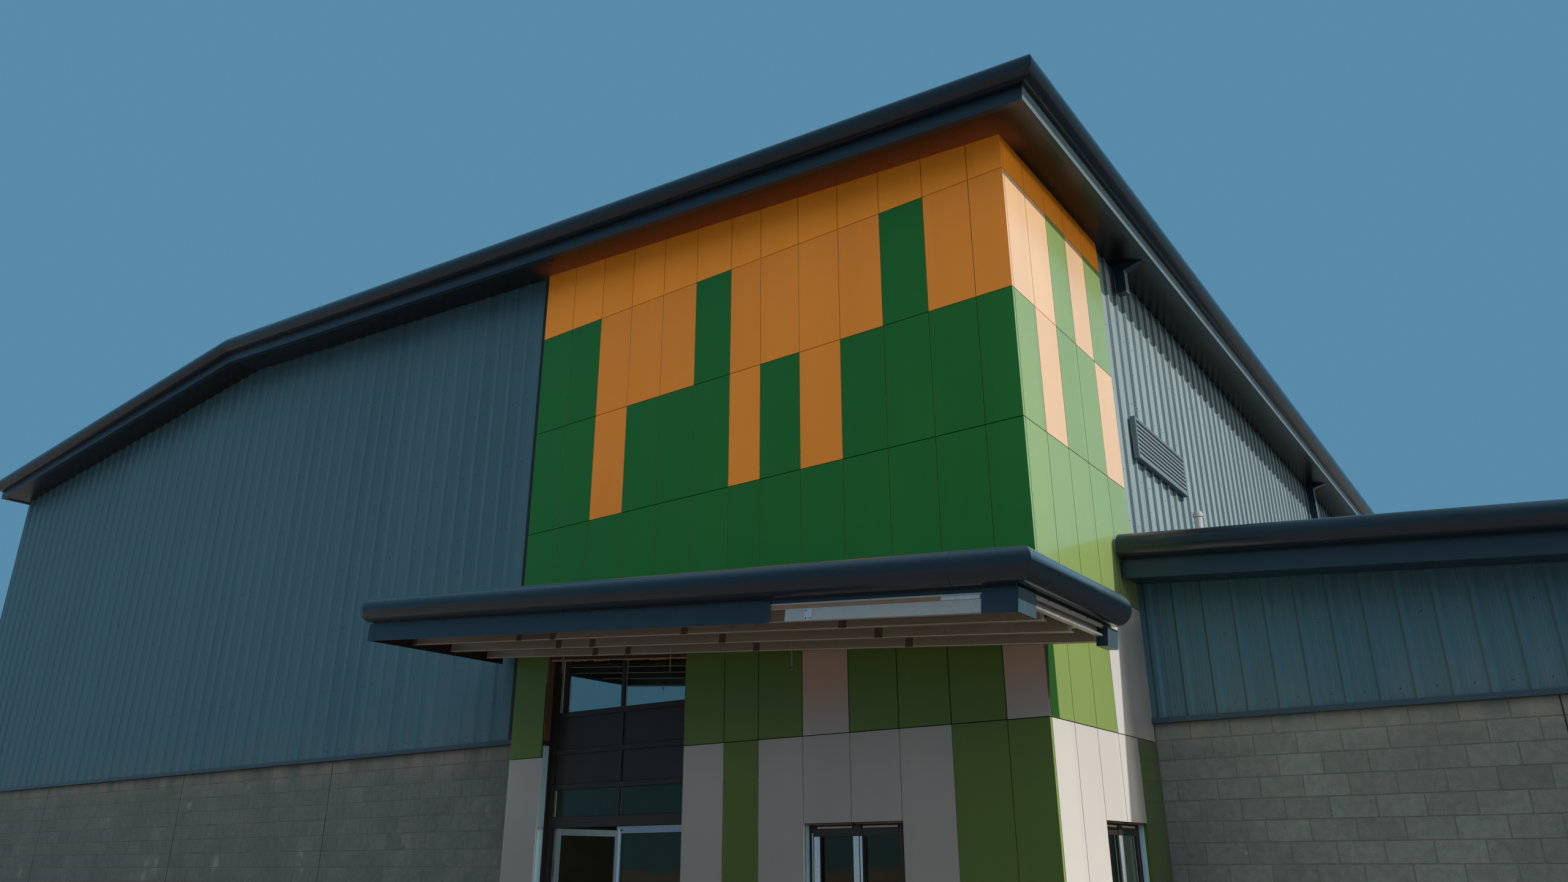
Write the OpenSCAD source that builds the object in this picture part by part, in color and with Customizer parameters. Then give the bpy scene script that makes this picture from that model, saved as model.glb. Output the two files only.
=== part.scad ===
// School building: a wide gabled sports hall in profiled metal over blockwork, with a
// panelled entrance block flush with its right-hand corner, a low lean-to wing behind the
// corner and a cantilevered entrance canopy that has lost part of its fascia.
// Millimetres. The origin is on the ground in the middle of the doorway, in the plane of
// the doors. X runs along the front to the right, Y runs into the building, Z is up.

/* [Hall] */
// Length of the hall front, the entrance block with it
hall_w = 26600; // [24000:100:31000]
// Depth of the hall from its front to its rear wall
hall_d = 30000; // [24000:100:32000]
// Distance of the ridge from the right-hand corner
ridge_off = 16350; // [12000:50:18000]
// Height of the underside of the roof at the right-hand corner
soffit_z = 9800; // [8600:20:11600]
// Slope of the hall roof in degrees
roof_pitch = 4.95; // [3:0.05:7]
// How far the roof fascia stands out from the walls
overhang = 530; // [420:10:700]
// Height of the roof deck over the underside of the overhang
deck_lift = 280; // [240:10:330]
// Thickness of the roof deck
deck_t = 120; // [80:5:160]

/* [Walls] */
// Height of the blockwork at the foot of the metal walls
plinth_h = 3325; // [2700:25:3900]
// Thickness of the blockwork
plinth_t = 300; // [215:5:350]
// Thickness of the metal wall without its ribs
clad_t = 150; // [100:5:200]
// Distance from rib to rib
rib_pitch = 336; // [250:1:400]
// Height of a rib
rib_h = 32; // [20:1:45]
// Width of a rib at its foot
rib_foot = 110; // [70:1:130]
// Width of a rib at its crest
rib_crest = 50; // [25:1:65]
// How far the metal wall stands behind the panel face
clad_set = 80; // [60:5:110]
// How far the blockwork stands behind the metal wall
plinth_set = 30; // [10:5:50]
// Thickness of the drip flashing over the blockwork
drip_t = 60; // [40:5:80]

/* [Entrance block] */
// Width of one wall panel with its joint
panel_w = 611; // [560:1:640]
// Width of the narrow seventh panel with its joint
narrow_w = 500; // [440:1:600]
// Width of the last panel at the corner
last_w = 444; // [380:1:600]
// Height of one wall panel with its joint
panel_h = 1557; // [1480:1:1600]
// Depth of the panel trays
tray_t = 40; // [30:1:60]
// Width of the open joint between panels
joint_w = 10; // [6:1:16]
// Thickness of the wall behind the panels
block_t = 290; // [215:5:350]
// Number of panels along the side of the block
side_cols = 5; // [5:1:5]

/* [Openings] */
// Distance from the panel face back to the plane of the doors
recess = 200; // [160:5:230]
// Height of the door leaves
door_h = 2110; // [2000:10:2110]
// Height of the window sills
sill_z = 950; // [700:10:1200]
// Height of the window heads
head_z = 2206; // [2150:1:2230]
// Distance from the panel face back to the window frames
window_recess = 110; // [80:5:160]
// Width of the frame members seen from the front
member_w = 60; // [50:1:70]
// Depth of the curtain wall members
member_d = 60; // [50:1:80]
// Width of the stiles of a door leaf
stile_w = 80; // [60:1:110]
// Thickness of a door leaf
leaf_t = 50; // [40:1:55]
// Thickness of the glass units
glass_t = 24; // [16:1:28]

/* [Floor] */
// Height of the floor over the ground
floor_z = 120; // [60:5:150]

/* [Wing] */
// Length of the wing beyond the hall
wing_w = 8200; // [6600:100:9000]
// Depth of the wing behind its front wall
wing_d = 12000; // [8000:100:16000]
// Height of the underside of its roof beside the hall
wing_soffit_z = 4990; // [4700:10:5300]
// How far its roof fascia stands out from the walls
wing_overhang = 550; // [450:10:620]
// Slope of its roof in degrees
wing_pitch = 5.2; // [4:0.1:6]

/* [Canopy] */
// How far the canopy stands out from the front
canopy_out = 2150; // [1800:10:2400]
// How far it stands out past the side
canopy_side = 705; // [600:5:800]
// Length of the canopy from its left end to its right edge
canopy_l = 8740; // [8600:5:9000]
// How far its round edge reaches back along the side wall
canopy_back = 140; // [100:10:300]
// Height of the lower edge of the fascia at the right-hand edge
canopy_z = 3660; // [3500:5:3800]
// Slope of the canopy in degrees
canopy_pitch = 5; // [4:0.1:6]
// Length of the fascia that is still there
fascia_left_l = 6180; // [5500:10:7200]
// Height of the canopy fascia
canopy_fascia_h = 205; // [190:1:215]

/* [Roof edge] */
// Radius of the round edge of the roofs
roll_r = 150; // [120:1:170]
// How far the centre of the round edge lies under the middle of the deck
roll_drop = 45; // [20:1:60]
// How far the centre of the round edge stands in front of the fascia
roll_out = 45; // [30:1:60]
// Thickness of the sheets, boards and flashings
sheet_t = 20; // [12:1:25]
// Depth of the lip at the foot of the fascia
lip_w = 90; // [60:5:120]
// Drop of the lip under the soffit boards
lip_drop = 30; // [22:1:40]

/* [Pieces on the wall] */
// Width of the louvre
louvre_w = 2130; // [1500:10:2400]
// Height of the louvre
louvre_h = 600; // [400:10:800]
// Number of louvre blades
blades = 8; // [5:1:9]
// Diameter of the vent pipe
vent_d = 110; // [80:5:160]
// Width of the square rainwater pipes
pipe_w = 142; // [100:2:160]

/* [Hidden] */
$fn = 48;
seat = 0.3;
far = 60000;

// Colours
block_grey = "#9a9890";
clad_blue = "#6f8794";
roll_blue = "#2e3f4e";
zinc = "#b9bcbd";
anthracite = "#35383c";
silver = "#c3c8cc";

// Panel grid of the entrance block, left to right and bottom to top
col_w = [for (i = [0:12]) i == 6 ? narrow_w : i == 12 ? last_w : panel_w];
function run_to(i) = i == 0 ? 0 : run_to(i - 1) + col_w[i - 1];
block_w = run_to(13);
block_d = side_cols * panel_w;
rows = 7;
front_map = [
    "P----PMPPPPMM",
    "P----PMPPPPMM",
    "M----MMMPMMMP",
    "EEEEEEEEEEEEE",
    "EEOEEEOEOEEEE",
    "EEOOOEOOOOEOO",
    "OOOOOOOOOOOOO"];
side_map = ["PPPPM", "PPPPM", "MMMPP", "EEEEE", "EOEEO", "OOEOE", "OOOOO"];

// Places along the front, measured from the right-hand corner of the block
door_l = run_to(1) - block_w;
door_r = run_to(5) - block_w;
door_w = door_r - door_l;
window_l = run_to(8) - block_w;
window_r = run_to(10) - block_w;
side_window_l = 2 * panel_w;
side_window_r = 4 * panel_w;
door_top = 3 * panel_h;
corner_x = -(door_l + door_r) / 2;

// Roof slopes in their own tilted frames
ridge_z = soffit_z + ridge_off * tan(roof_pitch);
left_w = hall_w - ridge_off;
function along(x) = (x + ridge_off) / cos(roof_pitch);
deck_foot_v = deck_lift / cos(roof_pitch) - seat;
roll_z = deck_lift + deck_t / 2 - roll_drop;
fascia_h = roll_z - roll_r - seat;

// Curtain wall and door leaves
leaf_z = floor_z + 10;
head_rail_z = leaf_z + door_h + 7;
head_rail_h = 125;
transoms = [for (rise = [495, 938, 1408]) head_rail_z + rise];
glass_y = 18;
spandrel_t = 24;
door_gap = 6;
hinge_off = door_w / 2 - seat - member_w - door_gap;
hinge_y = member_d - 5;
leaf_w = hinge_off - door_gap / 2;
foot_rail_h = 150;
pivot_r = 16;
handle_r = 12;
handle_z = 700;
handle_h = 350;

// Windows
sash_w = 42;
sash_d = 44;
sash_out = 8;

// Metal walls and their flashings
clad_z = plinth_h + drip_t;
in_set = clad_set + plinth_set;
drip_out = 45;
drip_back = plinth_set + 60;
trim_t = 6;
trim_w = 100;
rib_first = 111;
rib_last = 200;
louvre_y = block_d + 705;
louvre_z = 6870;

// Roof edge
roll_back = 110;
roll_t = 12;
soffit_gap = 0.5;

// Pipes on the side wall: the first has lost its lower part
pipe_x = -15;
pipe_ys = [block_d + 715, block_d + wing_d + 845];
pipe_feet = [soffit_z - 445, 150];
vent_x = 470;
vent_y = block_d + 1445;
vent_top = 6200;

// Wing
wing_y = block_d;
wing_x0 = rib_h - clad_set + seat;
wing_gap = 25;
wing_deck_lift = 230;
wing_deck_t = 120;
wing_roll_z = wing_deck_lift + wing_deck_t / 2 + 55;
wing_fascia_h = wing_roll_z - roll_r - seat;
function wing_level(v, x) = wing_soffit_z + v / cos(wing_pitch) - x * tan(wing_pitch);

// Canopy, in a frame tilted with its slope: X = 0 is its right-hand fascia line, Z = 0 the
// lower edge of the fascia
purlin_z = 40;
purlin_top = 175;
purlin_w = 60;
purlin_ys = [for (i = [0:2]) -275 - i * (canopy_out - 940) / 2];
steel_t = 8;
steel_ends = [-canopy_l + 40, -60];
channel_front = sheet_t - canopy_out + seat;
channel_z = 10;
channel_h = 112;
angle_h = 16;
side_channel_h = 110;
side_channel_top = 200;
side_lips = [20, 40];
box_w = 325;
box_l = 350;
end_box_l = 270;
end_box_w = 50;
end_box_h = 180;
end_box_back = -55;
arm_front = roll_back - canopy_out - roll_out + seat;
arm_h = 164;
arm_w = 100;
arm_xs = concat([-canopy_side - 95], [for (i = [0:3]) -2050 - i * 2000]);
canopy_deck_z = purlin_top + arm_h;
canopy_deck_t = 60;
canopy_roll_z = 370;
side_run_end = canopy_back - roll_back - roll_r;
strip_t = 15;
strip_in = 35;

module from_corner() {
    translate([corner_x, -recess, 0]) children();
}

// A plan outline cut down to what lies under the hall roof deck
module under_hall_roof() {
    intersection() {
        children();
        translate([0, far, 0])
            rotate([90, 0, 0])
                linear_extrude(2 * far)
                    polygon([
                        [-far, -10],
                        [-far, ridge_z + deck_foot_v - (far - ridge_off) * tan(roof_pitch)],
                        [-ridge_off, ridge_z + deck_foot_v],
                        [far, ridge_z + deck_foot_v - (far + ridge_off) * tan(roof_pitch)],
                        [far, -10]]);
    }
}

// The right-hand and the left-hand slope of the hall roof, cut at the ridge
module right_slope() {
    difference() {
        translate([-ridge_off, 0, ridge_z]) rotate([0, roof_pitch, 0]) children();
        translate([seat / 2 - ridge_off - far, -far, 0]) cube([far, 2 * far, far]);
    }
}

module left_slope() {
    difference() {
        translate([-ridge_off, 0, ridge_z]) rotate([0, -roof_pitch, 0]) mirror([1, 0, 0]) children();
        translate([-ridge_off - seat / 2, -far, 0]) cube([far, 2 * far, far]);
    }
}

// Plan outline of a profiled sheet: outer face towards -Y, ribs from the left end on
module sheet_outline(len, first = rib_first, last = rib_last) {
    n = floor((len - first - rib_foot - last) / rib_pitch);
    foot = (rib_foot - rib_crest) / 2;
    polygon(concat(
        [[0, 0]],
        [for (i = [0:n]) for (p = [[0, 0], [foot, -rib_h], [foot + rib_crest, -rib_h], [rib_foot, 0]])
            [first + i * rib_pitch + p[0], p[1]]],
        [[len, 0], [len, clad_t], [0, clad_t]]));
}

// A straight run with its outer face towards -Y, mitred at its ends where told
module mitred(len, out, back, start = 0, end = 0) {
    intersection() {
        children();
        translate([0, 0, -1000])
            linear_extrude(2000)
                polygon([
                    [-start * (out - seat), -out],
                    [len + end * (out - seat), -out],
                    [len - end * (back + seat), back],
                    [start * (back + seat), back]]);
    }
}

module extrude_x(x0, x1) {
    translate([x0, 0, 0]) rotate([90, 0, 90]) linear_extrude(x1 - x0) children();
}

// Section of the round roof edge, nose towards -X, back open
module roll_section() {
    difference() {
        union() {
            circle(roll_r);
            translate([0, -roll_r]) square([roll_back, 2 * roll_r]);
        }
        circle(roll_r - roll_t);
        translate([0, roll_t - roll_r]) square([roll_back + 1, 2 * (roll_r - roll_t)]);
    }
}

module roll_run(len, start = 0, end = 0) {
    mitred(len, roll_r + 50, roll_back, start, end)
        extrude_x(-roll_r - 60, len + roll_r + 60) roll_section();
}

// Rounded ends of the round edge, at its left (side -1) and at its right end (side 1)
module roll_cap(side) {
    big = roll_back + roll_r + 50;
    translate([0, roll_back, 0])
        intersection() {
            rotate_extrude()
                difference() {
                    union() {
                        translate([roll_back, 0]) circle(roll_r);
                        translate([0, -roll_r]) square([roll_back, 2 * roll_r]);
                    }
                    translate([roll_back, 0]) circle(roll_r - roll_t);
                    translate([-1, roll_t - roll_r]) square([roll_back + 1, 2 * (roll_r - roll_t)]);
                    translate([-2 * roll_r, -big]) square([2 * roll_r, 2 * big]);
                }
            translate([side > 0 ? 0 : -big, -big, -big]) cube([big, big, 2 * big]);
        }
}

// Section of the fascia with its lip, outer face at X = 0
module fascia_section(h, drop, t = sheet_t) {
    translate([0, -drop]) square([t, h + drop]);
    translate([0, -drop]) square([lip_w, t]);
}

module fascia_run(len, h, drop, start = 0, end = 0) {
    mitred(len, 50, lip_w, start, end)
        extrude_x(-200, len + 200) fascia_section(h, drop);
}

// Floor
module floor_slab() color("#a8a8a4") from_corner() {
    difference() {
        translate([-hall_w + clad_set + plinth_set + plinth_t, tray_t + block_t, 0])
            cube([hall_w - clad_set - plinth_set - plinth_t - tray_t - block_t,
                hall_d - tray_t - block_t - plinth_set - plinth_t, floor_z]);
        translate([-block_w - far, 0, -1])
            cube([far, clad_set + plinth_set + plinth_t, floor_z + 2]);
        translate([-clad_set - plinth_set - plinth_t, block_d, -1]) cube([far, far, floor_z + 2]);
    }
    translate([door_l, 0, 0]) cube([door_w, tray_t + block_t, floor_z]);
    translate([-in_set, wing_y + plinth_set + plinth_t, 0])
        cube([wing_w + clad_set - plinth_t, wing_d - 2 * (plinth_set + plinth_t), floor_z]);
}

// Walls of the entrance block behind the panels
module front_wall_piece(x0, x1, z0) {
    under_hall_roof() translate([x0, tray_t, z0]) cube([x1 - x0, block_t, far]);
}

module entry_wall_left() color(block_grey) from_corner() {
    front_wall_piece(-block_w, door_l, 0);
}

module entry_wall_over() color(block_grey) from_corner() {
    front_wall_piece(door_l, door_r, door_top);
}

module entry_wall_right() color(block_grey) from_corner() {
    difference() {
        front_wall_piece(door_r, -tray_t, 0);
        translate([window_l, 0, sill_z])
            cube([window_r - window_l, 2 * (tray_t + block_t), head_z - sill_z]);
    }
}

module entry_side_wall() color(block_grey) from_corner() {
    difference() {
        under_hall_roof()
            translate([-tray_t - block_t, tray_t + block_t, 0])
                cube([block_t, block_d - tray_t - block_t, far]);
        translate([-2 * (tray_t + block_t), side_window_l, sill_z])
            cube([3 * block_t, side_window_r - side_window_l, head_z - sill_z]);
    }
}

// Wall panels of one colour on the front and on the side
module panels_of(letter) {
    half = joint_w / 2;
    under_soffit()
        difference() {
            for (row = [0:rows - 1], col = [0:12])
                if (front_map[row][col] == letter)
                    translate([
                        run_to(col) - block_w + (col == 0 ? 0 : half),
                        0,
                        row * panel_h + (row == 0 ? 0 : half)])
                        cube([
                            col_w[col] - (col == 0 ? half : col == 12 ? half : joint_w),
                            tray_t - seat,
                            panel_h - (row == 0 ? half : joint_w)]);
            translate([window_l, -1, sill_z])
                cube([window_r - window_l, tray_t + 2, head_z - sill_z]);
        }
    under_soffit()
        difference() {
            for (row = [0:rows - 1], col = [0:side_cols - 1])
                if (side_map[row][col] == letter)
                    translate([
                        seat - tray_t,
                        col * panel_w + (col == 0 ? tray_t + joint_w : half),
                        row * panel_h + (row == 0 ? 0 : half)])
                        cube([
                            tray_t - seat,
                            panel_w - (col == 0 ? tray_t + joint_w + half : joint_w),
                            panel_h - (row == 0 ? half : joint_w)]);
            translate([-2 * tray_t, side_window_l, sill_z])
                cube([3 * tray_t, side_window_r - side_window_l, head_z - sill_z]);
        }
}

// What lies under the soffit boards of the right-hand slope
module under_soffit() {
    intersection() {
        children();
        translate([0, far, 0])
            rotate([90, 0, 0])
                linear_extrude(2 * far)
                    polygon([
                        [-block_w - 10, -10],
                        [-block_w - 10, soffit_z + (block_w + 10) * tan(roof_pitch) - seat],
                        [overhang, soffit_z - overhang * tan(roof_pitch) - seat],
                        [overhang, -10]]);
    }
}

module panels_orange() color("#d9762a") from_corner() panels_of("O");

module panels_emerald() color("#2f7d4b") from_corner() panels_of("E");

module panels_moss() color("#6a8f3c") from_corner() panels_of("M");

module panels_pale() color("#cfc6bd") from_corner() panels_of("P");

// Blockwork and metal walls of the hall
module hall_front_plinth() color(block_grey) from_corner() {
    translate([-hall_w + in_set, in_set, 0])
        cube([hall_w - in_set - block_w - seat, plinth_t, plinth_h]);
}

module hall_front_cladding() color(clad_blue) from_corner() {
    under_hall_roof()
        translate([-hall_w + clad_set, clad_set, clad_z])
            linear_extrude(far) sheet_outline(hall_w - clad_set - block_w - seat);
}

module hall_left_plinth() color(block_grey) from_corner() {
    translate([-hall_w + in_set, in_set + plinth_t, 0])
        cube([plinth_t, hall_d - 2 * (in_set + plinth_t) + clad_set, plinth_h]);
}

module hall_left_cladding() color(clad_blue) from_corner() {
    under_hall_roof()
        translate([-hall_w + clad_set, hall_d - clad_t, clad_z])
            rotate([0, 0, -90])
                linear_extrude(far) sheet_outline(hall_d - clad_set - 2 * clad_t);
}

module hall_rear_plinth() color(block_grey) from_corner() {
    translate([-hall_w + in_set, hall_d - plinth_set - plinth_t, 0])
        cube([hall_w - 2 * in_set, plinth_t, plinth_h]);
}

module hall_rear_cladding() color(clad_blue) from_corner() {
    under_hall_roof()
        translate([-clad_set, hall_d, clad_z])
            rotate([0, 0, 180])
                linear_extrude(far) sheet_outline(hall_w - 2 * clad_set);
}

module hall_side_plinth() color(block_grey) from_corner() {
    translate([-in_set - plinth_t, block_d, 0])
        cube([plinth_t, hall_d - block_d - plinth_set - plinth_t, plinth_h]);
}

module hall_side_cladding() color(clad_blue) from_corner() {
    difference() {
        under_hall_roof()
            translate([-clad_set, block_d, clad_z])
                rotate([0, 0, 90])
                    linear_extrude(far) sheet_outline(hall_d - block_d - clad_t, 60);
        translate([-clad_set - 2 * clad_t, louvre_y + 40, louvre_z + 40])
            cube([3 * clad_t, louvre_w - 80, louvre_h - 80]);
    }
}

// Drip flashing over the blockwork
module drip(len) {
    translate([0, -drip_out, plinth_h]) cube([len, drip_out + drip_back, drip_t - 2 * seat]);
}

// Corner trim on two metal walls whose outer faces meet at the origin, walls towards +X and +Y
module corner_trim() {
    translate([0, 0, clad_z])
        linear_extrude(far) {
            translate([-trim_t, -trim_t]) square([trim_w + trim_t, trim_t - seat]);
            translate([-trim_t, -trim_t]) square([trim_t - seat, trim_w + trim_t]);
        }
}

module flashings() color(clad_blue) from_corner() {
    translate([-hall_w + clad_set - drip_out, clad_set, seat])
        drip(hall_w - clad_set - block_w + drip_out - seat);
    translate([-hall_w + clad_set, hall_d, seat])
        rotate([0, 0, -90]) drip(hall_d - clad_set - drip_back - seat);
    translate([-clad_set, hall_d, seat])
        rotate([0, 0, 180]) drip(hall_w - 2 * clad_set - drip_back - seat);
    translate([-clad_set, wing_y + wing_d + 40, seat])
        rotate([0, 0, 90]) drip(hall_d - wing_y - wing_d - 140);
    translate([seat, wing_y, seat]) drip(wing_w + drip_out - seat);
    translate([wing_w, wing_y + drip_back + seat, seat])
        rotate([0, 0, 90]) drip(wing_d - 2 * (drip_back + seat));
    translate([wing_w + drip_out, wing_y + wing_d, seat])
        rotate([0, 0, 180]) drip(wing_w + drip_out - 20);
    under_hall_roof() {
        translate([-hall_w + clad_set, clad_set, 0]) corner_trim();
        translate([-hall_w + clad_set, hall_d, 0]) rotate([0, 0, -90]) corner_trim();
        translate([-clad_set, hall_d, 0]) rotate([0, 0, 180]) corner_trim();
        translate([-block_w - trim_w, clad_set - trim_t, clad_z])
            cube([trim_w - seat, trim_t - seat, far]);
    }
    under_wing_roof() {
        translate([wing_w, wing_y, 0]) rotate([0, 0, 90]) corner_trim();
        translate([wing_w, wing_y + wing_d, 0]) rotate([0, 0, 180]) corner_trim();
    }
    abutment();
}

// Upstand where the wing roof meets the side wall of the hall
module abutment() {
    x0 = wing_x0 + 2;
    deck = wing_deck_lift + wing_deck_t + seat;
    translate([0, wing_y + wing_d, 0])
        rotate([90, 0, 0])
            linear_extrude(wing_d - roll_r)
                polygon([
                    [x0, wing_level(deck, x0)],
                    [x0 + trim_w, wing_level(deck, x0 + trim_w)],
                    [x0 + trim_w, wing_level(deck + trim_t, x0 + trim_w)],
                    [x0 + trim_t, wing_level(deck + trim_t, x0 + trim_t)],
                    [x0 + trim_t, wing_level(deck + 150, x0)],
                    [x0, wing_level(deck + 150, x0)]]);
}

// Hall roof
module hall_roof() color(roll_blue) from_corner() {
    right_slope()
        translate([-200, -overhang, deck_lift])
            cube([200 + along(overhang), hall_d + 2 * overhang, deck_t]);
    left_slope()
        translate([-200, -overhang, deck_lift])
            cube([200 + left_w / cos(roof_pitch), hall_d + 2 * overhang, deck_t]);
}

module hall_soffit() color("#3b3f44") from_corner() {
    edge = overhang - sheet_t - soffit_gap;
    crest = clad_set - rib_h - seat;
    right_slope()
        linear_extrude(sheet_t) {
            polygon([
                [-200, -edge],
                [along(edge), -edge],
                [along(edge), -seat],
                [along(-block_w - 3), -seat],
                [along(-block_w - 3), crest],
                [-200, crest]]);
            polygon([
                [along(3), 0],
                [along(edge), 0],
                [along(edge), hall_d + rib_h],
                [along(rib_h - clad_set + 3), hall_d + rib_h],
                [along(rib_h - clad_set + 3), block_d],
                [along(3), block_d]]);
            translate([-200, hall_d + rib_h + seat])
                square([200 + along(edge), edge - rib_h - seat]);
        }
    for (y = [[-edge, crest], [hall_d + rib_h + seat, hall_d + edge]])
        left_slope()
            translate([-200, y[0], 0])
                cube([200 + left_w / cos(roof_pitch) - sheet_t - soffit_gap, y[1] - y[0], sheet_t]);
}

module hall_fascia() color(roll_blue) from_corner() {
    len = along(overhang);
    depth = hall_d + 2 * overhang;
    left_len = left_w / cos(roof_pitch) - sheet_t - seat;
    right_slope() {
        translate([-200, -overhang, 0]) fascia_run(len + 200, fascia_h, lip_drop, 0, 1);
        translate([len, -overhang, 0])
            rotate([0, 0, 90]) fascia_run(depth, fascia_h, lip_drop, 1, 1);
        translate([len, hall_d + overhang, 0])
            rotate([0, 0, 180]) fascia_run(len + 200, fascia_h, lip_drop, 1, 0);
    }
    left_slope() {
        translate([-200, -overhang, 0]) fascia_run(left_len + 200, fascia_h, lip_drop);
        translate([left_len, hall_d + overhang, 0])
            rotate([0, 0, 180]) fascia_run(left_len + 200, fascia_h, lip_drop);
        translate([left_len + seat, -overhang, -lip_drop])
            difference() {
                cube([sheet_t, depth, lip_drop + deck_lift - seat]);
                for (y = [-1, depth - roll_back])
                    translate([-1, y, lip_drop + fascia_h]) cube([sheet_t + 2, roll_back + 1, far]);
            }
    }
}

module hall_roof_roll() color(roll_blue) from_corner() {
    out = overhang + roll_out;
    len = along(out);
    depth = hall_d + 2 * out;
    left_len = left_w / cos(roof_pitch) - roll_back;
    right_slope()
        translate([0, 0, roll_z]) {
            translate([-200, -out, 0]) roll_run(len + 200, 0, 1);
            translate([len, -out, 0]) rotate([0, 0, 90]) roll_run(depth, 1, 1);
            translate([len, hall_d + out, 0]) rotate([0, 0, 180]) roll_run(len + 200, 1, 0);
        }
    left_slope()
        translate([0, 0, roll_z]) {
            translate([-200, -out, 0]) roll_run(left_len + 200);
            translate([left_len, -out, 0]) roll_cap(1);
            translate([left_len, hall_d + out, 0]) {
                rotate([0, 0, 180]) roll_run(left_len + 200);
                rotate([0, 0, 180]) roll_cap(-1);
            }
        }
}

// Louvre in the side wall
module louvre() color(clad_blue) from_corner() {
    frame = 45;
    depth = 70;
    step = (louvre_h - 2 * frame) / blades;
    translate([-clad_set + rib_h + seat, louvre_y, louvre_z])
        difference() {
            cube([depth, louvre_w, louvre_h]);
            translate([-1, frame, frame])
                cube([depth + 2, louvre_w - 2 * frame, louvre_h - 2 * frame]);
        }
    for (i = [0:blades - 1])
        translate([-clad_set + rib_h + 6, louvre_y + frame - 1, louvre_z + frame + (i + 0.72) * step])
            rotate([0, 38, 0]) cube([75, louvre_w - 2 * frame + 2, 5]);
}

// Rainwater pipes with an arm under the side overhang
module rainwater_pipes() color("#3f4a52") from_corner() {
    bend_z = soffit_z - 110;
    for (i = [0:1])
        under_soffit()
            translate([0, pipe_ys[i] + pipe_w, 0])
                rotate([90, 0, 0])
                    linear_extrude(pipe_w)
                        polygon([
                            [pipe_x, pipe_feet[i]],
                            [pipe_x + pipe_w, pipe_feet[i]],
                            [pipe_x + pipe_w, bend_z],
                            [pipe_x + pipe_w + 270, bend_z + 75],
                            [pipe_x + pipe_w + 270, soffit_z],
                            [pipe_x, soffit_z]]);
}

module vent_pipe() color("#b8bec2") from_corner() {
    difference() {
        translate([vent_x, vent_y, wing_soffit_z]) cylinder(d = vent_d, h = vent_top - wing_soffit_z);
        wing_roof_frame()
            translate([0, vent_y - vent_d, 0])
                cube([vent_x + 2 * vent_d, 2 * vent_d, wing_deck_lift + wing_deck_t + seat]);
        translate([vent_x, vent_y, vent_top - 200]) cylinder(d = vent_d - 10, h = 201);
    }
    translate([vent_x, vent_y, vent_top - 70])
        difference() {
            cylinder(d = vent_d + 22, h = 45);
            translate([0, 0, -1]) cylinder(d = vent_d - 5, h = 47);
        }
}

// Wing
module wing_roof_frame() {
    translate([0, 0, wing_soffit_z]) rotate([0, wing_pitch, 0]) children();
}

module under_wing_roof() {
    intersection() {
        children();
        translate([0, far, 0])
            rotate([90, 0, 0])
                linear_extrude(2 * far)
                    polygon([
                        [-100, -10],
                        [-100, wing_level(wing_deck_lift, -100) - seat],
                        [far / 3, wing_level(wing_deck_lift, far / 3) - seat],
                        [far / 3, -10]]);
    }
}

module wing_front_plinth() color(block_grey) from_corner() {
    translate([seat - in_set, wing_y + plinth_set, 0])
        cube([wing_w + clad_set - seat, plinth_t, plinth_h]);
}

module wing_front_cladding() color(clad_blue) from_corner() {
    under_wing_roof()
        translate([wing_x0, wing_y, clad_z])
            linear_extrude(far) sheet_outline(wing_w - wing_x0, 108);
}

module wing_end_plinth() color(block_grey) from_corner() {
    translate([wing_w - plinth_set - plinth_t, wing_y + plinth_set + plinth_t, 0])
        cube([plinth_t, wing_d - 2 * (plinth_set + plinth_t), plinth_h]);
}

module wing_end_cladding() color(clad_blue) from_corner() {
    under_wing_roof()
        translate([wing_w, wing_y + clad_t, clad_z])
            rotate([0, 0, 90]) linear_extrude(far) sheet_outline(wing_d - 2 * clad_t);
}

module wing_rear_plinth() color(block_grey) from_corner() {
    translate([seat - in_set, wing_y + wing_d - plinth_set - plinth_t, 0])
        cube([wing_w + clad_set - seat, plinth_t, plinth_h]);
}

module wing_rear_cladding() color(clad_blue) from_corner() {
    under_wing_roof()
        translate([wing_w, wing_y + wing_d, clad_z])
            rotate([0, 0, 180]) linear_extrude(far) sheet_outline(wing_w - wing_x0);
}

module wing_roof() color(roll_blue) from_corner() {
    out = wing_overhang;
    len = (wing_w + out) / cos(wing_pitch);
    nook = roll_back - roll_out - out + 1;
    wing_roof_frame()
        translate([0, wing_y, wing_deck_lift])
            linear_extrude(wing_deck_t)
                polygon([
                    [wing_gap, nook],
                    [wing_gap + roll_r, nook],
                    [wing_gap + roll_r, -out],
                    [len, -out],
                    [len, wing_d + out],
                    [wing_x0 + 1, wing_d + out],
                    [wing_x0 + 1, 0],
                    [wing_gap, 0]]);
}

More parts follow.
